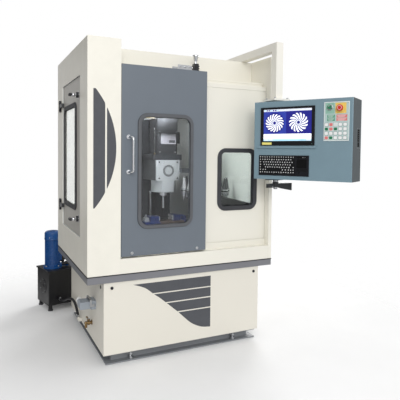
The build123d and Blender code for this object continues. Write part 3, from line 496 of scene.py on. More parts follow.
class Build:
    """Collects shapes in one mesh, each placed by a matrix from local millimetres to metres."""

    def __init__(self):
        self.bm = bmesh.new()
        self.mats = []

    def idx(self, mat):
        if mat not in self.mats:
            self.mats.append(mat)
        return self.mats.index(mat)

    def take(self, part, mat, M):
        part.transform(M)
        bmesh.ops.recalc_face_normals(part, faces=part.faces)
        i = self.idx(mat)
        remap = {}
        for v in part.verts:
            remap[v] = self.bm.verts.new(v.co)
        for f in part.faces:
            try:
                nf = self.bm.faces.new([remap[v] for v in f.verts])
            except ValueError:
                continue
            nf.material_index = i
            nf.smooth = True
        part.free()
        return self

    def box(self, lo, hi, mat, M=MF, bev=0.0, seg=2):
        p = bmesh.new()
        bmesh.ops.create_cube(p, size=1)
        c = [(a + b) / 2 for a, b in zip(lo, hi)]
        s = [abs(b - a) for a, b in zip(lo, hi)]
        p.transform(Matrix.Translation(c) @ Matrix.Diagonal((*s, 1)))
        if bev:
            bmesh.ops.bevel(p, geom=list(p.edges), offset=min(bev, min(s) * 0.45), segments=seg, profile=0.5, affect="EDGES")
        return self.take(p, mat, M)

    def prism(self, pts, depth, mat, M, bev=0.0, seg=2):
        """Outline in local x, y; depth = (z0, z1)."""
        p = bmesh.new()
        lo = [p.verts.new((x, y, depth[0])) for x, y in pts]
        hi = [p.verts.new((x, y, depth[1])) for x, y in pts]
        n = len(pts)
        p.faces.new(list(reversed(lo)))
        p.faces.new(hi)
        for i in range(n):
            p.faces.new((lo[i], lo[(i + 1) % n], hi[(i + 1) % n], hi[i]))
        if bev:
            e = [x for x in p.edges if abs(x.verts[0].co.z - depth[1]) < 1e-6 and abs(x.verts[1].co.z - depth[1]) < 1e-6]
            bmesh.ops.bevel(p, geom=e, offset=bev, segments=seg, profile=0.5, affect="EDGES")
        return self.take(p, mat, M)

    def lathe(self, prof, at, axis, mat, M=MF, n=32, turn=0.0):
        """Profile of (radius, height) turned about axis through the point at."""
        p = bmesh.new()
        ax = Vector(axis).normalized()
        q = Vector((0, 0, 1)).rotation_difference(ax).to_matrix().to_4x4()
        rings = []
        for r, h in prof:
            if r <= 1e-9:
                rings.append([p.verts.new((0, 0, h))])
            else:
                rings.append([p.verts.new((r * math.cos(2 * math.pi * k / n + turn), r * math.sin(2 * math.pi * k / n + turn), h)) for k in range(n)])
        for a, b in zip(rings, rings[1:]):
            for k in range(n):
                k2 = (k + 1) % n
                if len(a) == 1 and len(b) == 1:
                    continue
                if len(a) == 1:
                    p.faces.new((a[0], b[k], b[k2]))
                elif len(b) == 1:
                    p.faces.new((a[k], a[k2], b[0]))
                else:
                    p.faces.new((a[k], a[k2], b[k2], b[k]))
        if len(rings[0]) > 1:
            p.faces.new(list(reversed(rings[0])))
        if len(rings[-1]) > 1:
            p.faces.new(rings[-1])
        p.transform(Matrix.Translation(at) @ q)
        return self.take(p, mat, M)

    def ring(self, prof, at, axis, mat, M=MF, n=48):
        """Closed profile of (radius, height) turned about axis: a torus-like ring."""
        p = bmesh.new()
        ax = Vector(axis).normalized()
        q = Vector((0, 0, 1)).rotation_difference(ax).to_matrix().to_4x4()
        rings = [[p.verts.new((r * math.cos(2 * math.pi * k / n), r * math.sin(2 * math.pi * k / n), h)) for k in range(n)] for r, h in prof]
        for a, b in zip(rings, rings[1:] + rings[:1]):
            for k in range(n):
                k2 = (k + 1) % n
                p.faces.new((a[k], a[k2], b[k2], b[k]))
        p.transform(Matrix.Translation(at) @ q)
        return self.take(p, mat, M)

    def tube(self, pts, r, mat, M=MF, n=14):
        p = bmesh.new()
        pts = [Vector(x) for x in pts]
        t0 = (pts[1] - pts[0]).normalized()
        nrm = t0.orthogonal().normalized()
        rings = []
        for i, c in enumerate(pts):
            t = (pts[min(i + 1, len(pts) - 1)] - pts[max(i - 1, 0)]).normalized()
            nrm = (nrm - t * nrm.dot(t)).normalized()
            bn = t.cross(nrm)
            rings.append([p.verts.new(c + (nrm * math.cos(2 * math.pi * k / n) + bn * math.sin(2 * math.pi * k / n)) * r) for k in range(n)])
        for a, b in zip(rings, rings[1:]):
            for k in range(n):
                k2 = (k + 1) % n
                p.faces.new((a[k], a[k2], b[k2], b[k]))
        p.faces.new(list(reversed(rings[0])))
        p.faces.new(rings[-1])
        return self.take(p, mat, M)

    def done(self, name, body):
        for e in self.bm.edges:
            if len(e.link_faces) == 2 and e.calc_face_angle(0) > MESH_EDGE:
                e.smooth = False
        me = bpy.data.meshes.new(name)
        self.bm.to_mesh(me)
        self.bm.free()
        for m in self.mats:
            me.materials.append(m)
        o = bpy.data.objects.new(name, me)
        scene.collection.objects.link(o)
        wn = o.modifiers.new("flat_faces", "WEIGHTED_NORMAL")
        wn.keep_sharp = True
        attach(o, body)
        return o


def rrect(cx, cy, w, h, r, n=8):
    pts = []
    for sx, sy, a0 in ((1, 1, 0), (-1, 1, 90), (-1, -1, 180), (1, -1, 270)):
        ox, oy = cx + sx * (w / 2 - r), cy + sy * (h / 2 - r)
        for k in range(n + 1):
            a = math.radians(a0 + 90 * k / n)
            pts.append((ox + r * math.cos(a), oy + r * math.sin(a)))
    return pts


# local frames: x, y in the face's plane, z out of it
def face_front(y):       # F plane Y = y, looking from the front: (X, Z, out)
    return MF @ Matrix(((1, 0, 0, 0), (0, 0, -1, y), (0, 1, 0, 0), (0, 0, 0, 1)))


def face_left(x):        # F plane X = x, out towards -X: (Y, Z, out)
    return MF @ Matrix(((0, 0, -1, x), (1, 0, 0, 0), (0, 1, 0, 0), (0, 0, 0, 1)))


def face_right(x):
    return MF @ Matrix(((0, 0, 1, x), (1, 0, 0, 0), (0, 1, 0, 0), (0, 0, 0, 1)))


def face_back(y):
    return MF @ Matrix(((1, 0, 0, 0), (0, 0, 1, y), (0, 1, 0, 0), (0, 0, 0, 1)))


def face_top(z):
    return MF @ Matrix(((1, 0, 0, 0), (0, 1, 0, 0), (0, 0, 1, z), (0, 0, 0, 1)))


MPF = MP @ Matrix.Translation((0, 0, PF))       # pendant front: (u, v down, out)

# ------------------------------------------------------------------ finishes of the added pieces
SEAL = plastic("seal_black", lin(22, 22, 24), 0.6, 900, 0.0001, 0.12)
VINYL = plastic("vinyl_dark_grey", lin(77, 79, 84), 0.72, 500, 0.0001, 0.05)
YELLOW = plastic("moulded_yellow", lin(240, 204, 104), 0.38, 900, 0.00008, 0.06)
TAG = plastic("tag_yellow", lin(240, 228, 130), 0.5, 600, 0.00008, 0.05)
PINK = plastic("print_red", lin(222, 126, 124), 0.42, 1200, 0.00005, 0.06)
LEAF = plastic("print_green", lin(92, 160, 132), 0.42, 1200, 0.00005, 0.06)
PALELEAF = plastic("print_pale_green", lin(150, 194, 176), 0.42, 1200, 0.00005, 0.06)
WHITE = plastic("key_white", lin(240, 241, 240), 0.35, 900, 0.00006, 0.03)
LEGEND = plastic("legend_white", lin(236, 237, 238), 0.5, 900, 0.00004, 0.05)
SLATE = plastic("key_black", lin(15, 16, 18), 0.42, 1100, 0.0001, 0.12)
DARK = plastic("recess_black", lin(9, 9, 10), 0.7, 800, 0.0001, 0.15)
for m_, k_ in ((SLATE, 0.22), (DARK, 0.15), (MONBLACK, 0.3)):
    m_.node_tree.nodes["Principled BSDF"].inputs["Specular IOR Level"].default_value = k_
PLATE = plastic("label_plate", lin(186, 184, 192), 0.35, 900, 0.00005, 0.04)
SHIELD = plastic("gloss_grey", lin(112, 114, 118), 0.15, 700, 0.00002, 0.05)
BADGE = plastic("badge_grey", lin(124, 128, 129), 0.42, 260, 0.00008, 0.05)
CARBIDE = metal("cutter_steel", lin(170, 172, 176), 0.22, (1, 1, 0.3), 500, 0.00004, 0.10)
SCR_FIELD = glow("screen_blue", lin(40, 56, 148), 0.50, 0.10, 18)
SCR_NAVY = glow("screen_navy", lin(24, 26, 120), 0.55, 0.10, 24)
SCR_WHITE = glow("screen_white", lin(246, 248, 250), 0.62, 0.02, 30)
SCR_GREY = glow("screen_bar", lin(214, 218, 230), 0.55, 0.04, 30)
SCR_SKY = glow("screen_sky", lin(168, 214, 236), 0.55, 0.08, 20)
LAMP = glow("lamp_diffuser", lin(84, 76, 54), 0.35, 0.03, 30)


def hex_bolt(b, at, axis, r, h, mat, M=MF, washer=True):
    ax = Vector(axis).normalized()
    p = Vector(at)
    if washer:
        b.lathe([(r * 0.55, 0), (r * 1.35, 0), (r * 1.35, 1.4), (r * 1.2, 1.8), (r * 0.55, 1.8)], p, ax, mat, M, 24)
        p = p + ax * 1.6
    b.lathe([(r, 0), (r, h * 0.82), (r * 0.86, h), (0, h)], p, ax, mat, M, 6)


def pan_screw(b, at, axis, r, mat, M=MF):
    """Domed screw head with a cross recess."""
    ax = Vector(axis).normalized()
    prof = [(r, 0.0), (r, r * 0.18), (r * 0.92, r * 0.38), (r * 0.7, r * 0.54), (r * 0.42, r * 0.60), (r * 0.34, r * 0.60), (r * 0.2, r * 0.28), (0, r * 0.24)]
    b.lathe(prof, at, ax, mat, M, 20)


def socket_bolt(b, at, axis, r, h, mat, M=MF):
    ax = Vector(axis).normalized()
    prof = [(r, 0), (r, h * 0.88), (r * 0.9, h), (r * 0.56, h), (r * 0.52, h * 0.45), (0, h * 0.40)]
    b.lathe(prof, at, ax, mat, M, 24)


# ------------------------------------------------------------------ graphics on the post and the base
def circle3(a, b, c):
    ax_, ay_, bx_, by_, cx_, cy_ = *a, *b, *c
    d = 2 * (ax_ * (by_ - cy_) + bx_ * (cy_ - ay_) + cx_ * (ay_ - by_))
    ux = ((ax_**2 + ay_**2) * (by_ - cy_) + (bx_**2 + by_**2) * (cy_ - ay_) + (cx_**2 + cy_**2) * (ay_ - by_)) / d
    uy = ((ax_**2 + ay_**2) * (cx_ - bx_) + (bx_**2 + by_**2) * (ax_ - cx_) + (cx_**2 + cy_**2) * (bx_ - ax_)) / d
    return ux, uy, math.hypot(ax_ - ux, ay_ - uy)


ux, uy, ur = circle3((46, 1589), (164, 1255), (40, 918))


def arc_x(z):
    return ux + math.sqrt(max(0.0, ur**2 - (z - uy) ** 2))


g = Build()
zs = [918 + (1589 - 918) * k / 60 for k in range(61)]
g.prism([(33, 918), (33, 1589)] + [(min(arc_x(z), 100), z) for z in reversed(zs)], (0.0, 0.35), VINYL, face_front(0))
zr = [z for z in [918 + (1589 - 918) * k / 160 for k in range(161)] if arc_x(z) > 110.5]
g.prism([(110, zr[0]), (110, zr[-1])] + [(arc_x(z), z) for z in reversed(zr)], (0.0, 0.35), VINYL, face_front(0))
g.done("post_graphic", "machine_frame")

CURVE = [(255, 458.5), (270, 457), (344, 429), (398, 387), (440, 357), (479, 324), (556, 258), (572, 243), (641, 179), (690, 150), (732, 135), (783, 129)]


def catmull(pts, n=14):
    out = []
    for i in range(len(pts) - 1):
        p0, p1, p2, p3 = pts[max(i - 1, 0)], pts[i], pts[i + 1], pts[min(i + 2, len(pts) - 1)]
        for k in range(n):
            t = k / n
            out.append(tuple(0.5 * ((2 * b_) + (c_ - a_) * t + (2 * a_ - 5 * b_ + 4 * c_ - d_) * t * t + (3 * b_ - a_ - 3 * c_ + d_) * t**3)
                             for a_, b_, c_, d_ in zip(p0, p1, p2, p3)))
    return out + [pts[-1]]


line = catmull(CURVE)


def line_x(z):
    for (x0_, z0_), (x1_, z1_) in zip(line, line[1:]):
        if z1_ <= z <= z0_ and z0_ > z1_:
            return x0_ + (x1_ - x0_) * (z0_ - z) / (z0_ - z1_)
    return line[-1][0]


g = Build()
for z0_, z1_ in ((129.0, 252.5), (259.5, 319.5), (326.5, 384.5), (391.5, 457.0)):
    steps = [z0_ + (z1_ - z0_) * k / 28 for k in range(29)]
    left = [(line_x(z), z) for z in steps]
    if z0_ == 129.0:
        left = left[1:]
    pts = [(783, z1_), (783, z0_)] + left
    g.prism(pts, (0.0, 0.35), VINYL, face_front(10))
g.done("base_graphic", "machine_frame")

# ------------------------------------------------------------------ seals, screws and trim of the enclosure
g = Build()
for lo, hi in (((-1.5, -1.5, 525.0), (1236.5, 1.5, 531.0)), ((-1.5, 1014.5, 525.0), (1236.5, 1017.5, 531.0)),
               ((-1.5, -1.5, 524.0), (1.5, 1017.5, 532.0)), ((1233.5, -1.5, 525.0), (1236.5, 1017.5, 531.0))):
    g.box(lo, hi, SEAL, MF, 0.6)
g.done("tray_seal", "machine_frame")

g = Build()
for x, z in ((260, 647), (680, 644)):
    hex_bolt(g, (x, 2, z), (0, -1, 0), 7, 5, ZINC)
for z in (1121, 1323):
    g.lathe([(4.2, 0), (4.2, 1.2), (3.2, 2.2), (0, 2.4)], (236.5, -3, z + 9.2), (0, -1, 0), ZINC, MF, 16)
    g.lathe([(4.2, 0), (4.2, 1.2), (3.2, 2.2), (0, 2.4)], (236.5, -3, z - 9.2), (0, -1, 0), ZINC, MF, 16)
for z in (690, 1000, 1360, 1690):
    pan_screw(g, (741, 20, z), (1, 0, 0), 4.5, ZINC)
g.done("door_fasteners", "sliding_door")

def bead(b, cx, cz, w, h, r, rad, y, mat, M, n=14):
    """Round bead along a rounded rectangle in the plane of a panel."""
    line_ = rrect(cx, cz, w, h, r, 12)
    p = bmesh.new()
    N = len(line_)
    rings = []
    for i in range(N):
        a, c, d = Vector(line_[i - 1]), Vector(line_[i]), Vector(line_[(i + 1) % N])
        t = (d - a).normalized()
        nr = Vector((t.y, -t.x))
        rings.append([p.verts.new((c.x + nr.x * rad * math.cos(2 * math.pi * k / n), c.y + nr.y * rad * math.cos(2 * math.pi * k / n), y + rad * math.sin(2 * math.pi * k / n))) for k in range(n)])
    for i in range(N):
        for k in range(n):
            p.faces.new((rings[i][k], rings[i][(k + 1) % n], rings[(i + 1) % N][(k + 1) % n], rings[(i + 1) % N][k]))
    b.take(p, mat, M)


g = Build()          # lips of the door window's profile
bead(g, 470, 1125, 351, 677, 60.5, 2.4, 1.2, SEAL, face_front(2))
bead(g, 470, 1125, 311, 637, 43.5, 2.0, 6.4, SEAL, face_front(2))
g.done("door_window_lips", "sliding_door")
g = Build()          # lips of the fixed window's profile
bead(g, 994, 1065, 295.5, 403.5, 58.8, 2.0, 1.2, GREYRUBBER, face_front(52))
g.done("fixed_window_lips", "machine_frame")
g = Build()          # lips of the side window's profile
bead(g, 548.5, 1206, 420, 675, 48.5, 2.2, 1.0, SEAL, face_left(8))
bead(g, 548.5, 1206, 366, 621, 29.5, 2.0, 6.4, SEAL, face_left(8))
g.done("side_window_lips", "service_door")

g = Build()          # guide shoe and edge beads on the door's returns
g.box((195.2, 37.2, 640), (198.0, 38.6, 1730), RUBBER, MF, 0.4)
g.box((738.0, 37.2, 640), (740.8, 38.6, 1730), RUBBER, MF, 0.4)
g.done("door_edge_beads", "sliding_door")

g = Build()          # actuator bracket beside the door switch, fixed to the header
g.box((604, 150, 1772), (700, 242, 1775), ZINC, MF, 0.8)
g.box((604, 147, 1760), (700, 150, 1797), ZINC, MF, 0.8)
g.box((604, 238.6, 1775), (700, 241.9, 1800), ZINC, MF, 0.8)
for x in (620, 652, 684):
    hex_bolt(g, (x, 147, 1786), (0, -1, 0), 5.5, 4.5, ZINC)
    hex_bolt(g, (x, 200, 1775), (0, 0, 1), 5.5, 4.5, ZINC)
g.lathe([(6, 0), (6, 14), (4.5, 16), (0, 16)], (700, 163, 1786), (1, 0, 0), CHROME, MF, 24)
g.done("switch_bracket", "machine_frame")

g = Build()          # fasteners seen on the enclosure's other sides
for x in (60, 340, 620, 900, 1180):
    for z in (545, 1860):
        pan_screw(g, (x, 1016, z), (0, 1, 0), 5, ZINC)
for x in (60, 1180):
    for z in (870, 1200, 1530):
        pan_screw(g, (x, 1016, z), (0, 1, 0), 5, ZINC)
for y in (40, 270, 500, 730, 960):
    for z in (545, 1860):
        pan_screw(g, (1235, y, z), (1, 0, 0), 5, ZINC)
for x in (60, 340, 620, 900, 1180):
    for y in (270, 990):
        pan_screw(g, (x, y, 1878), (0, 0, 1), 5, ZINC)
g.done("panel_screws", "machine_frame")

g = Build()          # joints round the rear panels
g.prism(rrect(617.5, 273, 886, 346, 16), (0.0, 0.5), SEAL, face_back(1000))
g.prism(rrect(500, 1120, 646, 766, 14), (0.0, 0.5), SEAL, face_back(1016))
g.done("panel_gaps", "machine_frame")

g = Build()          # removable rear panel of the base with pull latches
g.prism(rrect(617.5, 273, 880, 340, 14), (0.0, 2.0), BASECREAM, face_back(1000), 0.8)
for x in (200, 480, 755, 1035):
    for z in (120, 426):
        pan_screw(g, (x, 1002, z), (0, 1, 0), 5.5, ZINC)
for i in range(9):
    g.box((420 + 46 * i, 1001.2, 330), (452 + 46 * i, 1003.6, 396), BASECREAM, MF, 1.2)
g.done("base_rear_panel", "machine_frame")

g = Build()          # rear panel of the enclosure and its frame
g.prism(rrect(500, 1120, 640, 760, 12), (0.0, 2.0), CREAM, face_back(1016), 0.8)
for x in (200, 350, 500, 650, 800):
    for z in (756, 1484):
        pan_screw(g, (x, 1018, z), (0, 1, 0), 5, ZINC)
for z in (940, 1120, 1300):
    for x in (196, 804):
        pan_screw(g, (x, 1018, z), (0, 1, 0), 5, ZINC)
g.done("enclosure_rear_panel", "machine_frame")

g = Build()          # bolts of the pendant arm's feet on the roof and of its flange
for y in (312, 348, 702, 738):
    for x in (1085, 1192):
        hex_bolt(g, (x, y, 1884), (0, 0, 1), 8, 6, ZINC)
for dx, dy in ((-46, -46), (46, -46), (-46, 46), (46, 46)):
    hex_bolt(g, (1150 + dx, -159 + dy, 1576), (0, 0, 1), 7, 7, ZINC)
g.done("arm_bolts", "machine_frame")

g = Build()          # end caps of the arm tube
g.box((1129, 797, 1882), (1171, 802.5, 1924), BLACKPLASTIC, MF, 2.0, 3)
g.done("arm_caps", "machine_frame")

# ------------------------------------------------------------------ left side: services
g = Build()
g.lathe([(11, 0), (11, 1.2), (9.5, 1.8), (6.5, 1.8), (6.0, 0.9), (0, 0.9)], (96, 81, 445), (-1, 0, 0), RUBBER, MF, 28)
g.done("cable_grommet", "machine_frame")

g = Build()          # connector: seam gasket, corner screws, ribs on the hood
g.box((65.2, 197.5, 282), (67.0, 282.5, 330), RUBBER, MF, 0.4)
for k in range(5):
    g.box((10 + 9 * k, 204, 327.6), (14 + 9 * k, 276, 329.2), DIECAST, MF, 0.6)
for y, s_ in ((189, -1), (291, 1)):
    g.lathe([(7.5, 0), (7.5, 2.4), (6, 3.4), (0, 3.4)], (78, y, 306), (0, s_, 0), ZINC, MF, 24)
g.done("connector_trim", "machine_frame")

g = Build()          # gland nut and seal of the connector
g.lathe([(21.5, 0), (21.5, 9), (20, 11), (16.5, 11)], (20, 300, 308), (0, 1, 0), WHITE, MF, 8)
for k in range(5):
    g.ring([(16.2, 0), (17.4, 0.6), (17.4, 1.8), (16.2, 2.4)], (20, 315 + 3 * k, 308), (0, 1, 0), WHITE, MF, 32)
g.ring([(7, 0), (15.5, 0), (14.5, 2.2), (8, 2.2)], (20, 329.6, 308), (0, 1, 0), RUBBER, MF, 32)
g.done("gland_nut", "machine_frame")

g = Build()          # threads and hexagon of the drain tap
for k in range(4):
    g.ring([(9.4, 0), (10.3, 0.5), (10.3, 1.2), (9.4, 1.7)], (84 + 2.2 * k, 303, 163), (1, 0, 0), BRASS, MF, 28)
for k in range(4):
    g.ring([(7.9, 0), (8.8, 0.5), (8.8, 1.3), (7.9, 1.8)], (58, 303, 136 + 2.6 * k), (0, 0, 1), BRASS, MF, 28)
g.done("tap_threads", "machine_frame")
g = Build()
g.lathe([(6.5, 0), (6.5, 3.6), (5.6, 4.6), (0, 4.6)], (74, 303, 186), (0, 0, 1), ZINC, MF, 6)
g.box((70.2, 322, 185), (77.8, 350, 185.9), BRASS, MF, 0.4)
g.done("tap_lever_nut", "drain_lever")

g = Build()          # hose clips
hd0 = Vector((0, 58, 46.4)).normalized()
for at, ax_ in ((Vector((76, 629.1, 89.2)) + hd0 * 8, hd0),):
    g.ring([(9.0, -5), (10.2, -5), (10.2, 5), (9.0, 5)], at, ax_, ZINC, MF, 36)
    g.box((at.x - 15, at.y - 5, at.z + 8), (at.x - 7, at.y + 5, at.z + 16), ZINC, MF, 1.0)
g.ring([(9.0, -5), (10.2, -5), (10.2, 5), (9.0, 5)], (74, -42, 96), (0, -1, 0), ZINC, MT, 36)
g.box((70, -47, 104), (78, -37, 112), ZINC, MT, 1.0)
g.done("hose_clips", "machine_frame")

# ------------------------------------------------------------------ service door trim
g = Build()
for z in (1580, 825):
    g.ring([(18.3, 0), (23, 0), (22.2, 2.2), (18.3, 2.2)], (8, 285, z), (-1, 0, 0), CHROME, MF, 40)
g.done("latch_rings", "service_door")
for nm, z in (("upper_latch", 1580), ("lower_latch", 825)):
    g = Build()
    g.ring([(5.9, 0), (11.5, 0), (10.6, 2.6), (6.8, 3.4)], (-6.9, 285, z), (-1, 0, 0), CHROME, MF, 40)
    g.ring([(5.9, 0), (10.5, 0.8), (12.0, 4.0), (12.0, 13.0), (10.5, 16.2), (5.9, 17.0)], (-13.5, 285, z), (-1, 0, 0), CHROME, MF, 40)
    for dy in (-17.5, -13.5, 13.5, 17.5):
        g.box((-50.7, 284 + dy, z - 4.6), (-49.4, 286 + dy, z + 4.6), BLACKPLASTIC, MF, 0.4)
    g.done(nm + "_trim", nm)
g = Build()
for hz in (1560, 856):
    for dy in (888, 922):
        for dz in (-26, 0, 26):
            if dy == 888 and dz != 0:
                continue
            pan_screw(g, (-4, dy, hz + dz), (-1, 0, 0), 5, BLACKSTEEL)
g.done("hinge_screws", "machine_frame")

# ------------------------------------------------------------------ chamber: lamp, guard, head and tools
g = Build()
g.box((405, 268, 1449), (470, 285, 1471), ZINC, MF, 1.5)
g.box((380, 262, 1454.5), (495, 268.4, 1465.5), LAMP, MF, 2.5, 3)
g.box((372, 262, 1447), (381, 290, 1473), BLACKPLASTIC, MF, 2)
g.box((494, 262, 1447), (503, 290, 1473), BLACKPLASTIC, MF, 2)
g.tube([(437, 285, 1460), (437, 292, 1470), (437, 294, 1500), (437, 294, 1875)], 6, ZINC, MF, 16)
g.done("chamber_lamp", "machine_frame")

g = Build()          # sloping swarf guard inside the fixed window
M0 = MF @ Matrix(((1, 0, 0, 0), (0, 0, -1, 0), (0, 1, 0, 0), (0, 0, 0, 1)))
g.prism([(800, 830), (1232, 830), (1232, 872.7), (800, 977)], (-204, -200), BLACKPLASTIC, M0, 1.0)
g.prism([(800, 973), (1232, 868.7), (1232, 872.7), (800, 977)], (-200, -90), BLACKPLASTIC, M0, 0.8)
g.box((1229, 90, 800), (1232, 204, 872), BLACKPLASTIC, MF, 0.8)
g.done("swarf_guard", "machine_frame")

g = Build()          # plain ring and bare plate on the head
g.ring([(26, 0), (40, 0), (39, 2.2), (35, 3.0), (28, 2.6), (26.5, 1.6)], (620, 335, 1114), (0, -1, 0), BADGE, MF, 56)
g.lathe([(26.6, 0), (26.6, 0.6), (0, 0.9)], (620, 335, 1114), (0, -1, 0), SILVER, MF, 48)
for x, z in ((552, 1062), (683, 1062), (552, 1172), (683, 1172)):
    socket_bolt(g, (x, 335, z), (0, -1, 0), 5, 4, BLACKSTEEL)
for k in range(8):
    a = math.radians(22.5 + 45 * k)
    socket_bolt(g, (617.5 + 70 * math.cos(a), 425 + 70 * math.sin(a), 966), (0, 0, -1), 5, 5, BLACKSTEEL)
g.done("head_fittings", "head")

g = Build()
g.prism(rrect(624, 1330, 108, 70, 4), (0.0, 1.2), PLATE, face_front(352), 0.4)
g.prism(rrect(650, 1312, 44, 18, 2), (1.2, 1.5), VINYL, face_front(352))
for x in (562, 673):
    for z in (1240, 1454):
        socket_bolt(g, (x, 352, z), (0, -1, 0), 5, 5, ZINC)
for k in range(9):
    g.box((541.5 - 4.5, 372 + 13 * k, 1236), (541.6, 377 + 13 * k, 1458), MOTORBLACK, MF, 1.4)
    g.box((693.4, 372 + 13 * k, 1236), (693.5 + 4.5, 377 + 13 * k, 1290), MOTORBLACK, MF, 1.4)
for k in range(5):
    g.ring([(30 + 7 * k, 0), (33 + 7 * k, 0), (33 + 7 * k, 1.6), (30 + 7 * k, 1.6)], (617.5, 428, 1520), (0, 0, 1), BLACKPLASTIC, MF, 48)
g.box((693.5 + 32, 394, 1304), (693.5 + 34, 466, 1376), BLACKPLASTIC, MF, 0.8)
g.done("motor_fittings", "head")

g = Build()          # rounded shield over the upper half of the spindle motor
arc_ = [(-73 + 146 * k / 24, 24 * (1 - ((-73 + 146 * k / 24) / 73) ** 2) ** 0.72) for k in range(25)]
Msh = MF @ Matrix.Translation((617.5, 352.5, 0)) @ Matrix(((1, 0, 0, 0), (0, -1, 0, 0), (0, 0, 1, 0), (0, 0, 0, 1)))
g.prism([(-73, -4)] + [(x, max(y, 0)) for x, y in arc_] + [(73, -4)], (1370, 1466), SHIELD, Msh, 3.0, 3)
for x in (-60, 60):
    socket_bolt(g, (617.5 + x, 352.5 - 24 * (1 - (60 / 73) ** 2) ** 0.72 + 1.2, 1378), (x / 110, -1, 0), 3.5, 3, ZINC)
g.done("motor_shield", "head")

g = Build()          # lubrication pipe up the left of the motor
g.tube([(525, 352, 1186), (525, 352, 1195), (525, 352, 1380), (525, 356, 1396), (525, 368, 1404), (525, 400, 1406), (536, 404, 1406)], 2.6, CHROME, MF, 14)
g.lathe([(6, 0), (6, 9), (4.5, 11), (0, 11)], (525, 352, 1224), (0, 0, 1), BRASS, MF, 6)
g.done("lube_pipe", "head")

g = Build()          # collet nut slots and the cutter's flutes
g.lathe([(15.5, 0), (23.5, 1.5), (26, 4), (26, 15), (24.5, 17), (20, 17)], (617.5, 425, 938.5), (0, 0, 1), NOSE, MF, 8)
g.ring([(24.9, 0), (25.8, 0.4), (25.8, 4.0), (24.9, 4.4)], (617.5, 425, 957.5), (0, 0, 1), TURNED, MF, 40)
p = bmesh.new()
NF, NS = 48, 40
rows = []
for i in range(NS + 1):
    h = 851 + (906 - 851) * i / NS
    tw = math.radians(3.4 * (h - 851))
    row = []
    for k in range(NF):
        a = 2 * math.pi * k / NF
        r = 6.25 + 0.75 * abs(math.cos(2 * a)) ** 0.7
        row.append(p.verts.new((617.5 + r * math.cos(a + tw), 425 + r * math.sin(a + tw), h)))
    rows.append(row)
for a_, b_ in zip(rows, rows[1:]):
    for k in range(NF):
        p.faces.new((a_[k], a_[(k + 1) % NF], b_[(k + 1) % NF], b_[k]))
p.faces.new(rows[-1])
p.faces.new(list(reversed(rows[0])))
g.take(p, NOSE, MF)
g.done("cutter_flutes", "spindle")

g = Build()          # grooves, drive keys and collet nuts of the stored tools, carousel cap
for i in range(10):
    a = math.radians(36 * (i + 0.5))
    tx, ty = 993 + 160 * math.cos(a), 520 + 160 * math.sin(a)
    g.ring([(23.9, 0), (25.2, 0.6), (25.2, 5.6), (23.9, 6.2)], (tx, ty, 944), (0, 0, 1), GROUND, MF, 40)
    g.ring([(23.9, 0), (25.2, 0.6), (25.2, 6.6), (23.9, 7.2)], (tx, ty, 963), (0, 0, 1), GROUND, MF, 40)
    g.lathe([(9.0, 0), (9.6, 1.5), (9.6, 5), (8, 7), (6.0, 7.6)], (tx, ty, 1050), (0, 0, 1), TURNED, MF, 28)
    for k in range(8):
        b_ = math.radians(45 * k)
        g.lathe([(2.2, 0), (2.2, 16), (0, 16)], (tx + 16.6 * math.cos(b_), ty + 16.6 * math.sin(b_), 922), (0, 0, 1), BLACKSTEEL, MF, 10)
    cx_, cy_ = 993 + 128 * math.cos(a), 520 + 128 * math.sin(a)
    socket_bolt(g, (cx_, cy_, 964), (0, 0, 1), 5, 5, ZINC)
for k in range(6):
    a = math.radians(60 * k)
    socket_bolt(g, (993 + 34 * math.cos(a), 520 + 34 * math.sin(a), 1030), (0, 0, 1), 4.5, 4.5, ZINC)
g.done("carousel_fittings", "carousel")

g = Build()          # jaw plates with grooves, clamp and bolts of the vice
for k in range(9):
    g.box((578.6, 387 + 9 * k, 769), (579.6, 391 + 9 * k, 797), GROUND, MF, 0.3)
for y in (400, 450):
    socket_bolt(g, (579, y, 783), (1, 0, 0), 4.5, 1.2, BLACKSTEEL)
g.box((474, 400, 764), (508, 450, 776), GROUND, MF, 2)
g.box((476, 404, 776), (506, 446, 790), GROUND, MF, 3)
g.lathe([(9, 0), (9, 9), (7.6, 11), (0, 11)], (491, 425, 790), (0, 0, 1), ZINC, MF, 6)
g.lathe([(5.5, 0), (5.5, 8), (0, 8)], (491, 425, 801), (0, 0, 1), ZINC, MF, 16)
g.done("vice_fittings", "table")
g = Build()
for k in range(9):
    g.box((669.4, 387 + 9 * k, 769), (670.4, 391 + 9 * k, 801), GROUND, MF, 0.3)
for y in (400, 450):
    socket_bolt(g, (670, y, 785), (-1, 0, 0), 4.5, 1.2, BLACKSTEEL)
g.done("jaw_plate_fittings", "vice_jaw")

g = Build()          # table end caps, scale strip and front stop rail
g.box((367, 322.4, 716), (868, 325.1, 727), ZINC, MF, 0.8)
for x in (420, 520, 720, 815):
    g.box((x, 318.4, 714), (x + 22, 322.6, 729), BLACKSTEEL, MF, 1.2)
g.done("table_stop_rail", "table")

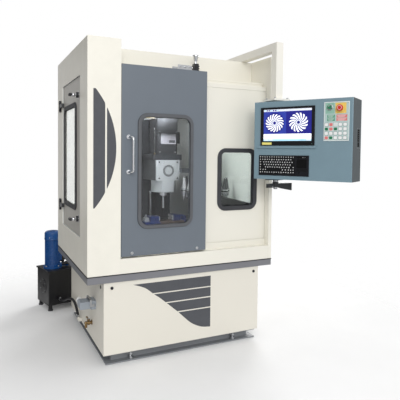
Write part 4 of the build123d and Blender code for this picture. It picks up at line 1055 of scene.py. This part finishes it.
# ------------------------------------------------------------------ pendant front
g = Build()
g.prism(rrect(219.5, 148.5, 307, 199, 1.5), (2.0, 2.25), SCR_FIELD, MPF)
g.box((66, 49, 2.25), (373, 62, 2.45), SCR_GREY, MPF)
for k in range(7):
    g.box((70 + 14 * k, 52, 2.45), (80 + 14 * k, 59, 2.55), SCR_NAVY if k % 3 else SCR_SKY, MPF)
g.box((214, 63, 2.25), (373, 198, 2.4), SCR_NAVY, MPF)
g.box((66, 198, 2.25), (373, 229, 2.45), SCR_WHITE, MPF)
g.box((66, 229, 2.25), (373, 241, 2.45), SCR_SKY, MPF)
g.box((66, 241, 2.25), (373, 248, 4.6), MONBLACK, MPF, 0.4)
for k, (u0_, w_) in enumerate(((70, 58), (70, 44), (70, 66))):
    g.box((u0_, 202 + 9 * k, 2.45), (u0_ + w_, 205 + 9 * k, 2.55), SCR_SKY, MPF)
for u0_, w_ in ((72, 26), (104, 26), (340, 28)):
    g.box((u0_, 231.5, 2.45), (u0_ + w_, 238.5, 2.55), SCR_GREY, MPF)
g.done("display_fields", "pendant")

g = Build()          # two vaned wheels drawn on the display
for (uc, vc, R, nb, sgn, sq) in ((139, 131.5, 60, 17, 1, 0.92), (292, 131, 60, 15, -1, 0.97)):
    g.lathe([(R * 1.04, 0), (R * 1.04, 0.1), (0, 0.1)], (uc, vc, 2.4), (0, 0, 1), SCR_NAVY, MPF, 48)
    for k in range(nb):
        a0 = 2 * math.pi * k / nb
        inner, outer = [], []
        for j in range(7):
            t = j / 6
            r = R * (0.30 + 0.68 * t)
            mid = a0 + sgn * 0.55 * t
            wd_ = (0.16 + 0.14 * math.sin(math.pi * (0.25 + 0.6 * t))) * 2 * math.pi / nb
            inner.append((uc + r * math.cos(mid - wd_), vc + sq * r * math.sin(mid - wd_)))
            outer.append((uc + r * math.cos(mid + wd_), vc + sq * r * math.sin(mid + wd_)))
        g.prism(inner + outer[::-1], (2.5, 2.62), SCR_WHITE, MPF)
    g.ring([(R * 0.16, 0), (R * 0.27, 0), (R * 0.27, 0.14), (R * 0.16, 0.14)], (uc, vc, 2.5), (0, 0, 1), SCR_GREY, MPF, 40)
g.done("display_wheels", "pendant")

g = Build()          # bezel edge, tag, standby lamp and monitor brackets
for lo, hi in (((47, 36, 5), (392, 38.5, 6.0)), ((47, 265.5, 5), (392, 268, 6.0)), ((47, 36, 5), (49.5, 268, 6.0)), ((389.5, 36, 5), (392, 268, 6.0))):
    g.box(lo, hi, MONBLACK, MPF, 0.5)
g.prism(rrect(90, 256.5, 64, 14, 1.5), (5.0, 5.25), TAG, MPF)
g.lathe([(1.6, 0), (1.6, 0.5), (0, 0.7)], (377, 258, 5), (0, 0, 1), LEAF, MPF, 16)
for k in range(4):
    g.box((338 + 8 * k, 256.5, 5), (343 + 8 * k, 259.5, 5.7), SLATE, MPF, 0.3)
g.done("monitor_trim", "pendant")

g = Build()          # keyboard: keycaps, legends, pad
rows_ = [
    (334.5, 9.5, [1.0] * 15),
    (349.5, 13.0, [1.0] * 13 + [2.0]),
    (365.0, 13.0, [1.5] + [1.0] * 12 + [1.5]),
    (380.5, 13.0, [1.75] + [1.0] * 11 + [2.25]),
    (396.0, 13.0, [2.25] + [1.0] * 10 + [1.75, 1.0]),
    (411.5, 13.0, [1.25, 1.0, 1.25, 6.0, 1.25, 1.25, 1.0, 1.0, 1.0]),
    (427.0, 13.0, [1.0] * 15),
]
PITCH = 15.4
marks = Build()
for ri, (v0_, h_, widths) in enumerate(rows_):
    u_ = 44.0
    for wi, wk in enumerate(widths):
        w_ = wk * PITCH
        g.box((u_ + 0.9, v0_, 4.0), (u_ + w_ - 0.9, v0_ + h_, 6.4), SLATE, MPF, 1.0, 2)
        if wk < 4:
            jit = random.uniform(-0.8, 0.8)
            marks.box((u_ + 3.0, v0_ + 1.8, 6.4), (u_ + 8.2 + jit, v0_ + min(6.6, h_ - 3.5), 6.47), LEGEND, MPF)
            if (ri + wi) % 3 == 0 and h_ > 10:
                marks.box((u_ + 3.4, v0_ + 7.0, 6.4), (u_ + 5.0, v0_ + 9.6, 6.47), LEGEND, MPF)
        u_ += w_
g.prism(rrect(316, 377, 62, 52, 4), (4.0, 4.7), DARK, MPF, 0.4)
g.box((286, 408, 4.0), (315, 424, 6.0), SLATE, MPF, 1.2)
g.box((317, 408, 4.0), (346, 424, 6.0), SLATE, MPF, 1.2)
g.box((286, 336, 4.0), (346, 344, 4.6), DARK, MPF, 0.4)
for k in range(3):
    g.lathe([(1.2, 0), (1.2, 0.3), (0, 0.4)], (322 + 8 * k, 340, 4.6), (0, 0, 1), LEGEND, MPF, 12)
g.done("keyboard_keys", "pendant")
marks.done("keyboard_marks", "pendant")

g = Build()          # keypad: fields and domed keys
g.prism(rrect(541, 58, 62, 60, 3), (3.0, 3.4), YELLOW, MPF, 0.15)
g.ring([(11.5, 0), (18, 0), (17.2, 1.4), (12.2, 1.8)], (479, 52, 3.0), (0, 0, 1), CHROME, MPF, 40)
g.prism(rrect(480, 57, 50, 62, 3), (3.0, 3.2), PALELEAF, MPF)
for lo, hi in (((445.6, 21.6, 3.0), (589.4, 24.6, 3.35)), ((445.6, 239.4, 3.0), (589.4, 242.4, 3.35)), ((445.6, 24.6, 3.0), (448.4, 239.4, 3.35)), ((586.6, 24.6, 3.0), (589.4, 239.4, 3.35))):
    g.box(lo, hi, WHITE, MPF, 0.12)
for k in range(2):
    g.box((464, 94 + 19 * k, 3.0), (509, 111 + 19 * k, 3.15), LEAF, MPF)
    g.box((517, 94 + 19 * k, 3.0), (578, 111 + 19 * k, 3.15), PINK, MPF)
    for j in range(3):
        g.box((468 + 2 * j, 97 + 5 * j + 19 * k, 3.15), (503 - 4 * j, 98.6 + 5 * j + 19 * k, 3.22), WHITE, MPF)
        g.box((522 + 2 * j, 97 + 5 * j + 19 * k, 3.15), (572 - 5 * j, 98.6 + 5 * j + 19 * k, 3.22), WHITE, MPF)
cols = [461, 487, 513, 540, 567]
rows2 = [150, 175, 200, 225]
paints = [[WHITE, PINK, PANELWHITE, WHITE, WHITE], [GREEN, PINK, GREEN, WHITE, WHITE], [WHITE] * 5, [PINK, GREEN, WHITE, WHITE, WHITE]]
for v_, row in zip(rows2, paints):
    for u_, mt in zip(cols, row):
        g.prism(rrect(u_, v_, 19, 17, 3.5, 5), (3.0, 4.2), mt, MPF, 0.7, 3)
        g.prism(rrect(u_, v_, 22, 20, 4, 5), (3.0, 3.15), DRIVEGREY if mt is WHITE else LEGEND, MPF)
for u_, v_ in ((453, 29), (582, 29), (453, 235), (582, 235)):
    pan_screw(g, (u_, v_, 3.0), (0, 0, 1), 2.6, ZINC, MPF)
g.done("keypad_keys", "pendant")

g = Build()          # mark on the selector, arrows on the stop button
g.box((478.2, 38.5, 24), (479.8, 50, 24.3), WHITE, MPF)
g.done("selector_mark", "selector_knob")
g = Build()
g.ring([(10.5, 0), (12.5, 0), (12.2, 0.4), (10.8, 0.4)], (541, 58, 31.9), (0, 0, 1), WHITE, MPF, 40)
g.done("estop_ring", "estop_button")

# ------------------------------------------------------------------ pendant sides and back
MPR = MP @ Matrix(((0, 0, 1, 610), (0, 1, 0, 0), (1, 0, 0, 0), (0, 0, 0, 1)))      # right end: (n, v, out)
g = Build()
g.prism(rrect(-29, 210, 34, 70, 2.5), (0.0, 1.0), DARK, MPR, 0.4)
g.prism(rrect(-29, 262, 30, 26, 2.5), (0.0, 1.0), DARK, MPR, 0.4)
for v_ in (186, 198, 210, 222, 234):
    g.box((-40, v_ - 2, 1.0), (-18, v_ + 2, 1.6), BLACKPLASTIC, MPR, 0.3)
for n_, v_ in ((-50, 170), (-8, 170), (-50, 282), (-8, 282)):
    pan_screw(g, (n_, v_, 0), (0, 0, 1), 2.6, ZINC, MPR)
g.done("pendant_ports", "pendant")
MPB = MP @ Matrix(((1, 0, 0, 0), (0, 1, 0, 0), (0, 0, -1, -87.5), (0, 0, 0, 1)))   # back: (u, v, out)
g = Build()
for u_ in (14, 160, 305, 450, 596):
    for v_ in (14, 462):
        pan_screw(g, (u_, v_, 0), (0, 0, 1), 4.5, ZINC, MPB)
for v_ in (160, 310):
    for u_ in (14, 596):
        pan_screw(g, (u_, v_, 0), (0, 0, 1), 4.5, ZINC, MPB)
for k in range(12):
    g.box((200 + 18 * k, 90, 0), (208 + 18 * k, 150, 2.2), PENDANT, MPB, 1.0)
    g.box((200 + 18 * k, 330, 0), (208 + 18 * k, 390, 2.2), PENDANT, MPB, 1.0)
g.done("pendant_back_trim", "pendant")
g = Build()
g.lathe([(12, 0), (12, 4), (10, 6), (0, 6)], (1150, -159, 1018), (0, 0, -1), ZINC, MF, 6)
g.done("clamp_nut", "pendant")

# ------------------------------------------------------------------ coolant unit
TANK_TOP = 314
g = Build()
MU, MV = 80.0, 118.0
for k in range(36):          # cooling fins round the motor body
    a = math.radians(10 * k)
    c, s_ = math.cos(a), math.sin(a)
    lo_h, hi_h = (446, 536) if 10 * k <= 40 or 10 * k >= 320 else (340, 536)
    Mfin = MT @ Matrix.Translation((MU, MV, 0)) @ Matrix.Rotation(a, 4, "Z")
    g.box((55, -1.5, lo_h), (60.5, 1.5, hi_h), PUMPBLUE, Mfin, 0.9)
g.ring([(61.5, 0), (64.2, 1.0), (64.2, 7), (61.5, 8)], (MU, MV, 541), (0, 0, 1), PUMPBLUE, MT, 64)
for k in range(4):
    a = math.radians(45 + 90 * k)
    pan_screw(g, (MU + 62 * math.cos(a), MV + 62 * math.sin(a), 560), (math.cos(a), math.sin(a), 0), 4, ZINC, MT)
for k in range(4):
    r0 = 12 + 8 * k
    g.ring([(r0, 0), (r0 + 3.2, 0), (r0 + 3.2, 1.4), (r0, 1.4)], (MU, MV, 605.6), (0, 0, 1), PUMPBLUE, MT, 48)
for k in range(6):
    a = math.radians(60 * k)
    Mr = MT @ Matrix.Translation((MU, MV, 0)) @ Matrix.Rotation(a, 4, "Z")
    g.box((6, -1.6, 605.8), (42, 1.6, 607.4), PUMPBLUE, Mr, 0.5)
for k in range(4):
    a = math.radians(20 + 90 * k)
    hex_bolt(g, (MU + 64 * math.cos(a), MV + 64 * math.sin(a), 330), (0, 0, 1), 6, 6, ZINC, MT)
g.done("pump_fittings", "machine_frame")

g = Build()          # terminal box lid, gland, outlet elbow
g.box((MU + 98, MV - 41, 371), (MU + 103, MV + 41, 441), BLACKPLASTIC, MT, 2.5, 3)
for dv in (-33, 33):
    for z in (379, 433):
        pan_screw(g, (MU + 103, MV + dv, z), (1, 0, 0), 4, ZINC, MT)
for dv in (-22, 14):
    g.lathe([(14, 0), (14, 6), (11, 8), (11, 20), (8, 24), (0, 24)], (MU + 74, MV + dv, 373), (0, 0, -1), BLACKPLASTIC, MT, 20)
pts_ = [(MU + 100, MV - 28, 336)]
for k in range(1, 10):
    a = math.radians(10 * k)
    pts_.append((MU + 112 + 26 * math.sin(a), MV - 28, 336 + 26 * (1 - math.cos(a))))
pts_.append((MU + 138, MV - 28, 378))
g.tube(pts_, 14, BLACKPLASTIC, MT, 24)
g.lathe([(17, 0), (17, 14), (15, 16), (11, 16)], (MU + 138, MV - 28, 376), (0, 0, 1), BLACKPLASTIC, MT, 8)
g.done("pump_outlet", "machine_frame")

g = Build()          # tank: lid rim, strainer cap on the left end, feet, handle
g.box((-6.5, -6.5, 303), (406.5, -3.8, 314.5), TANKBLACK, MT, 1.0)
g.box((-6.5, 238.8, 303), (406.5, 241.5, 314.5), TANKBLACK, MT, 1.0)
g.box((-6.5, -6.5, 303), (-3.8, 241.5, 314.5), TANKBLACK, MT, 1.0)
g.box((403.8, -6.5, 303), (406.5, 241.5, 314.5), TANKBLACK, MT, 1.0)
for k in range(4):
    r0 = 16 + 12 * k
    g.ring([(r0, 0), (r0 + 6, 0), (r0 + 5, 3.0), (r0 + 1, 3.0)], (0, 112, 180), (-1, 0, 0), TANKBLACK, MT, 56)
g.lathe([(58, 0), (58, 1.6), (56, 2.4), (12, 2.4), (12, 4.5), (10, 6), (0, 6)], (0, 112, 180), (-1, 0, 0), TANKBLACK, MT, 56)
for k in range(6):
    a = math.radians(60 * k + 30)
    pan_screw(g, (-2, 112 + 52.5 * math.cos(a), 180 + 52.5 * math.sin(a)), (-1, 0, 0), 3.2, ZINC, MT)
for u_ in (22, 378):
    for v_ in (22, 213):
        g.lathe([(17, 0.2), (19, 2), (19, 9), (16.5, 12), (15, 12)], (u_, v_, 0), (0, 0, 1), RUBBER, MT, 32)
for u_ in (230, 370):
    for v_ in (20, 215):
        pan_screw(g, (u_, v_, 314), (0, 0, 1), 5, ZINC, MT)
g.prism(rrect(300, 118, 150, 150, 10), (314.0, 316.0), TANKBLACK, MT, 0.8)
g.tube([(265, 118, 316), (265, 118, 332), (270, 118, 340), (280, 118, 343), (320, 118, 343), (330, 118, 340), (335, 118, 332), (335, 118, 316)], 4, BLACKSTEEL, MT, 14)
g.done("tank_fittings", "machine_frame")

g = Build()          # threads of the levelling bolts
for x, y in ((266, 43), (964, 43), (266, 967), (964, 967)):
    for k in range(5):
        g.ring([(7.9, 0), (8.7, 0.5), (8.7, 1.1), (7.9, 1.6)], (x, y, 22 + 2.4 * k), (0, 0, 1), ZINC, MF, 24)
g.done("bolt_threads", "machine_frame")

# ------------------------------------------------------------------ return hose
HOSE_PTS = [(-0.5415, 0.1211, 0.0892), (-0.5415, 0.1791, 0.1356), (-0.5445, 0.2680, 0.1660), (-0.5515, 0.3580, 0.1570),
            (-0.5635, 0.4420, 0.1280), (-0.5797, 0.5038, 0.0960), (-0.5955, 0.5669, 0.0960)]
cu = bpy.data.curves.new("return_hose_line", "CURVE")
cu.dimensions = "3D"
sp = cu.splines.new("NURBS")
sp.points.add(len(HOSE_PTS) - 1)
for p, c in zip(sp.points, HOSE_PTS):
    p.co = (*c, 1)
sp.order_u = 3
sp.use_endpoint_u = True
sp.resolution_u = 16
cu.bevel_depth = 0.009
cu.bevel_resolution = 6
cu.use_fill_caps = True
hose = bpy.data.objects.new("return_hose_line", cu)
scene.collection.objects.link(hose)
cu.materials.append(HOSE)
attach(hose, "machine_frame")
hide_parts("return_hose")
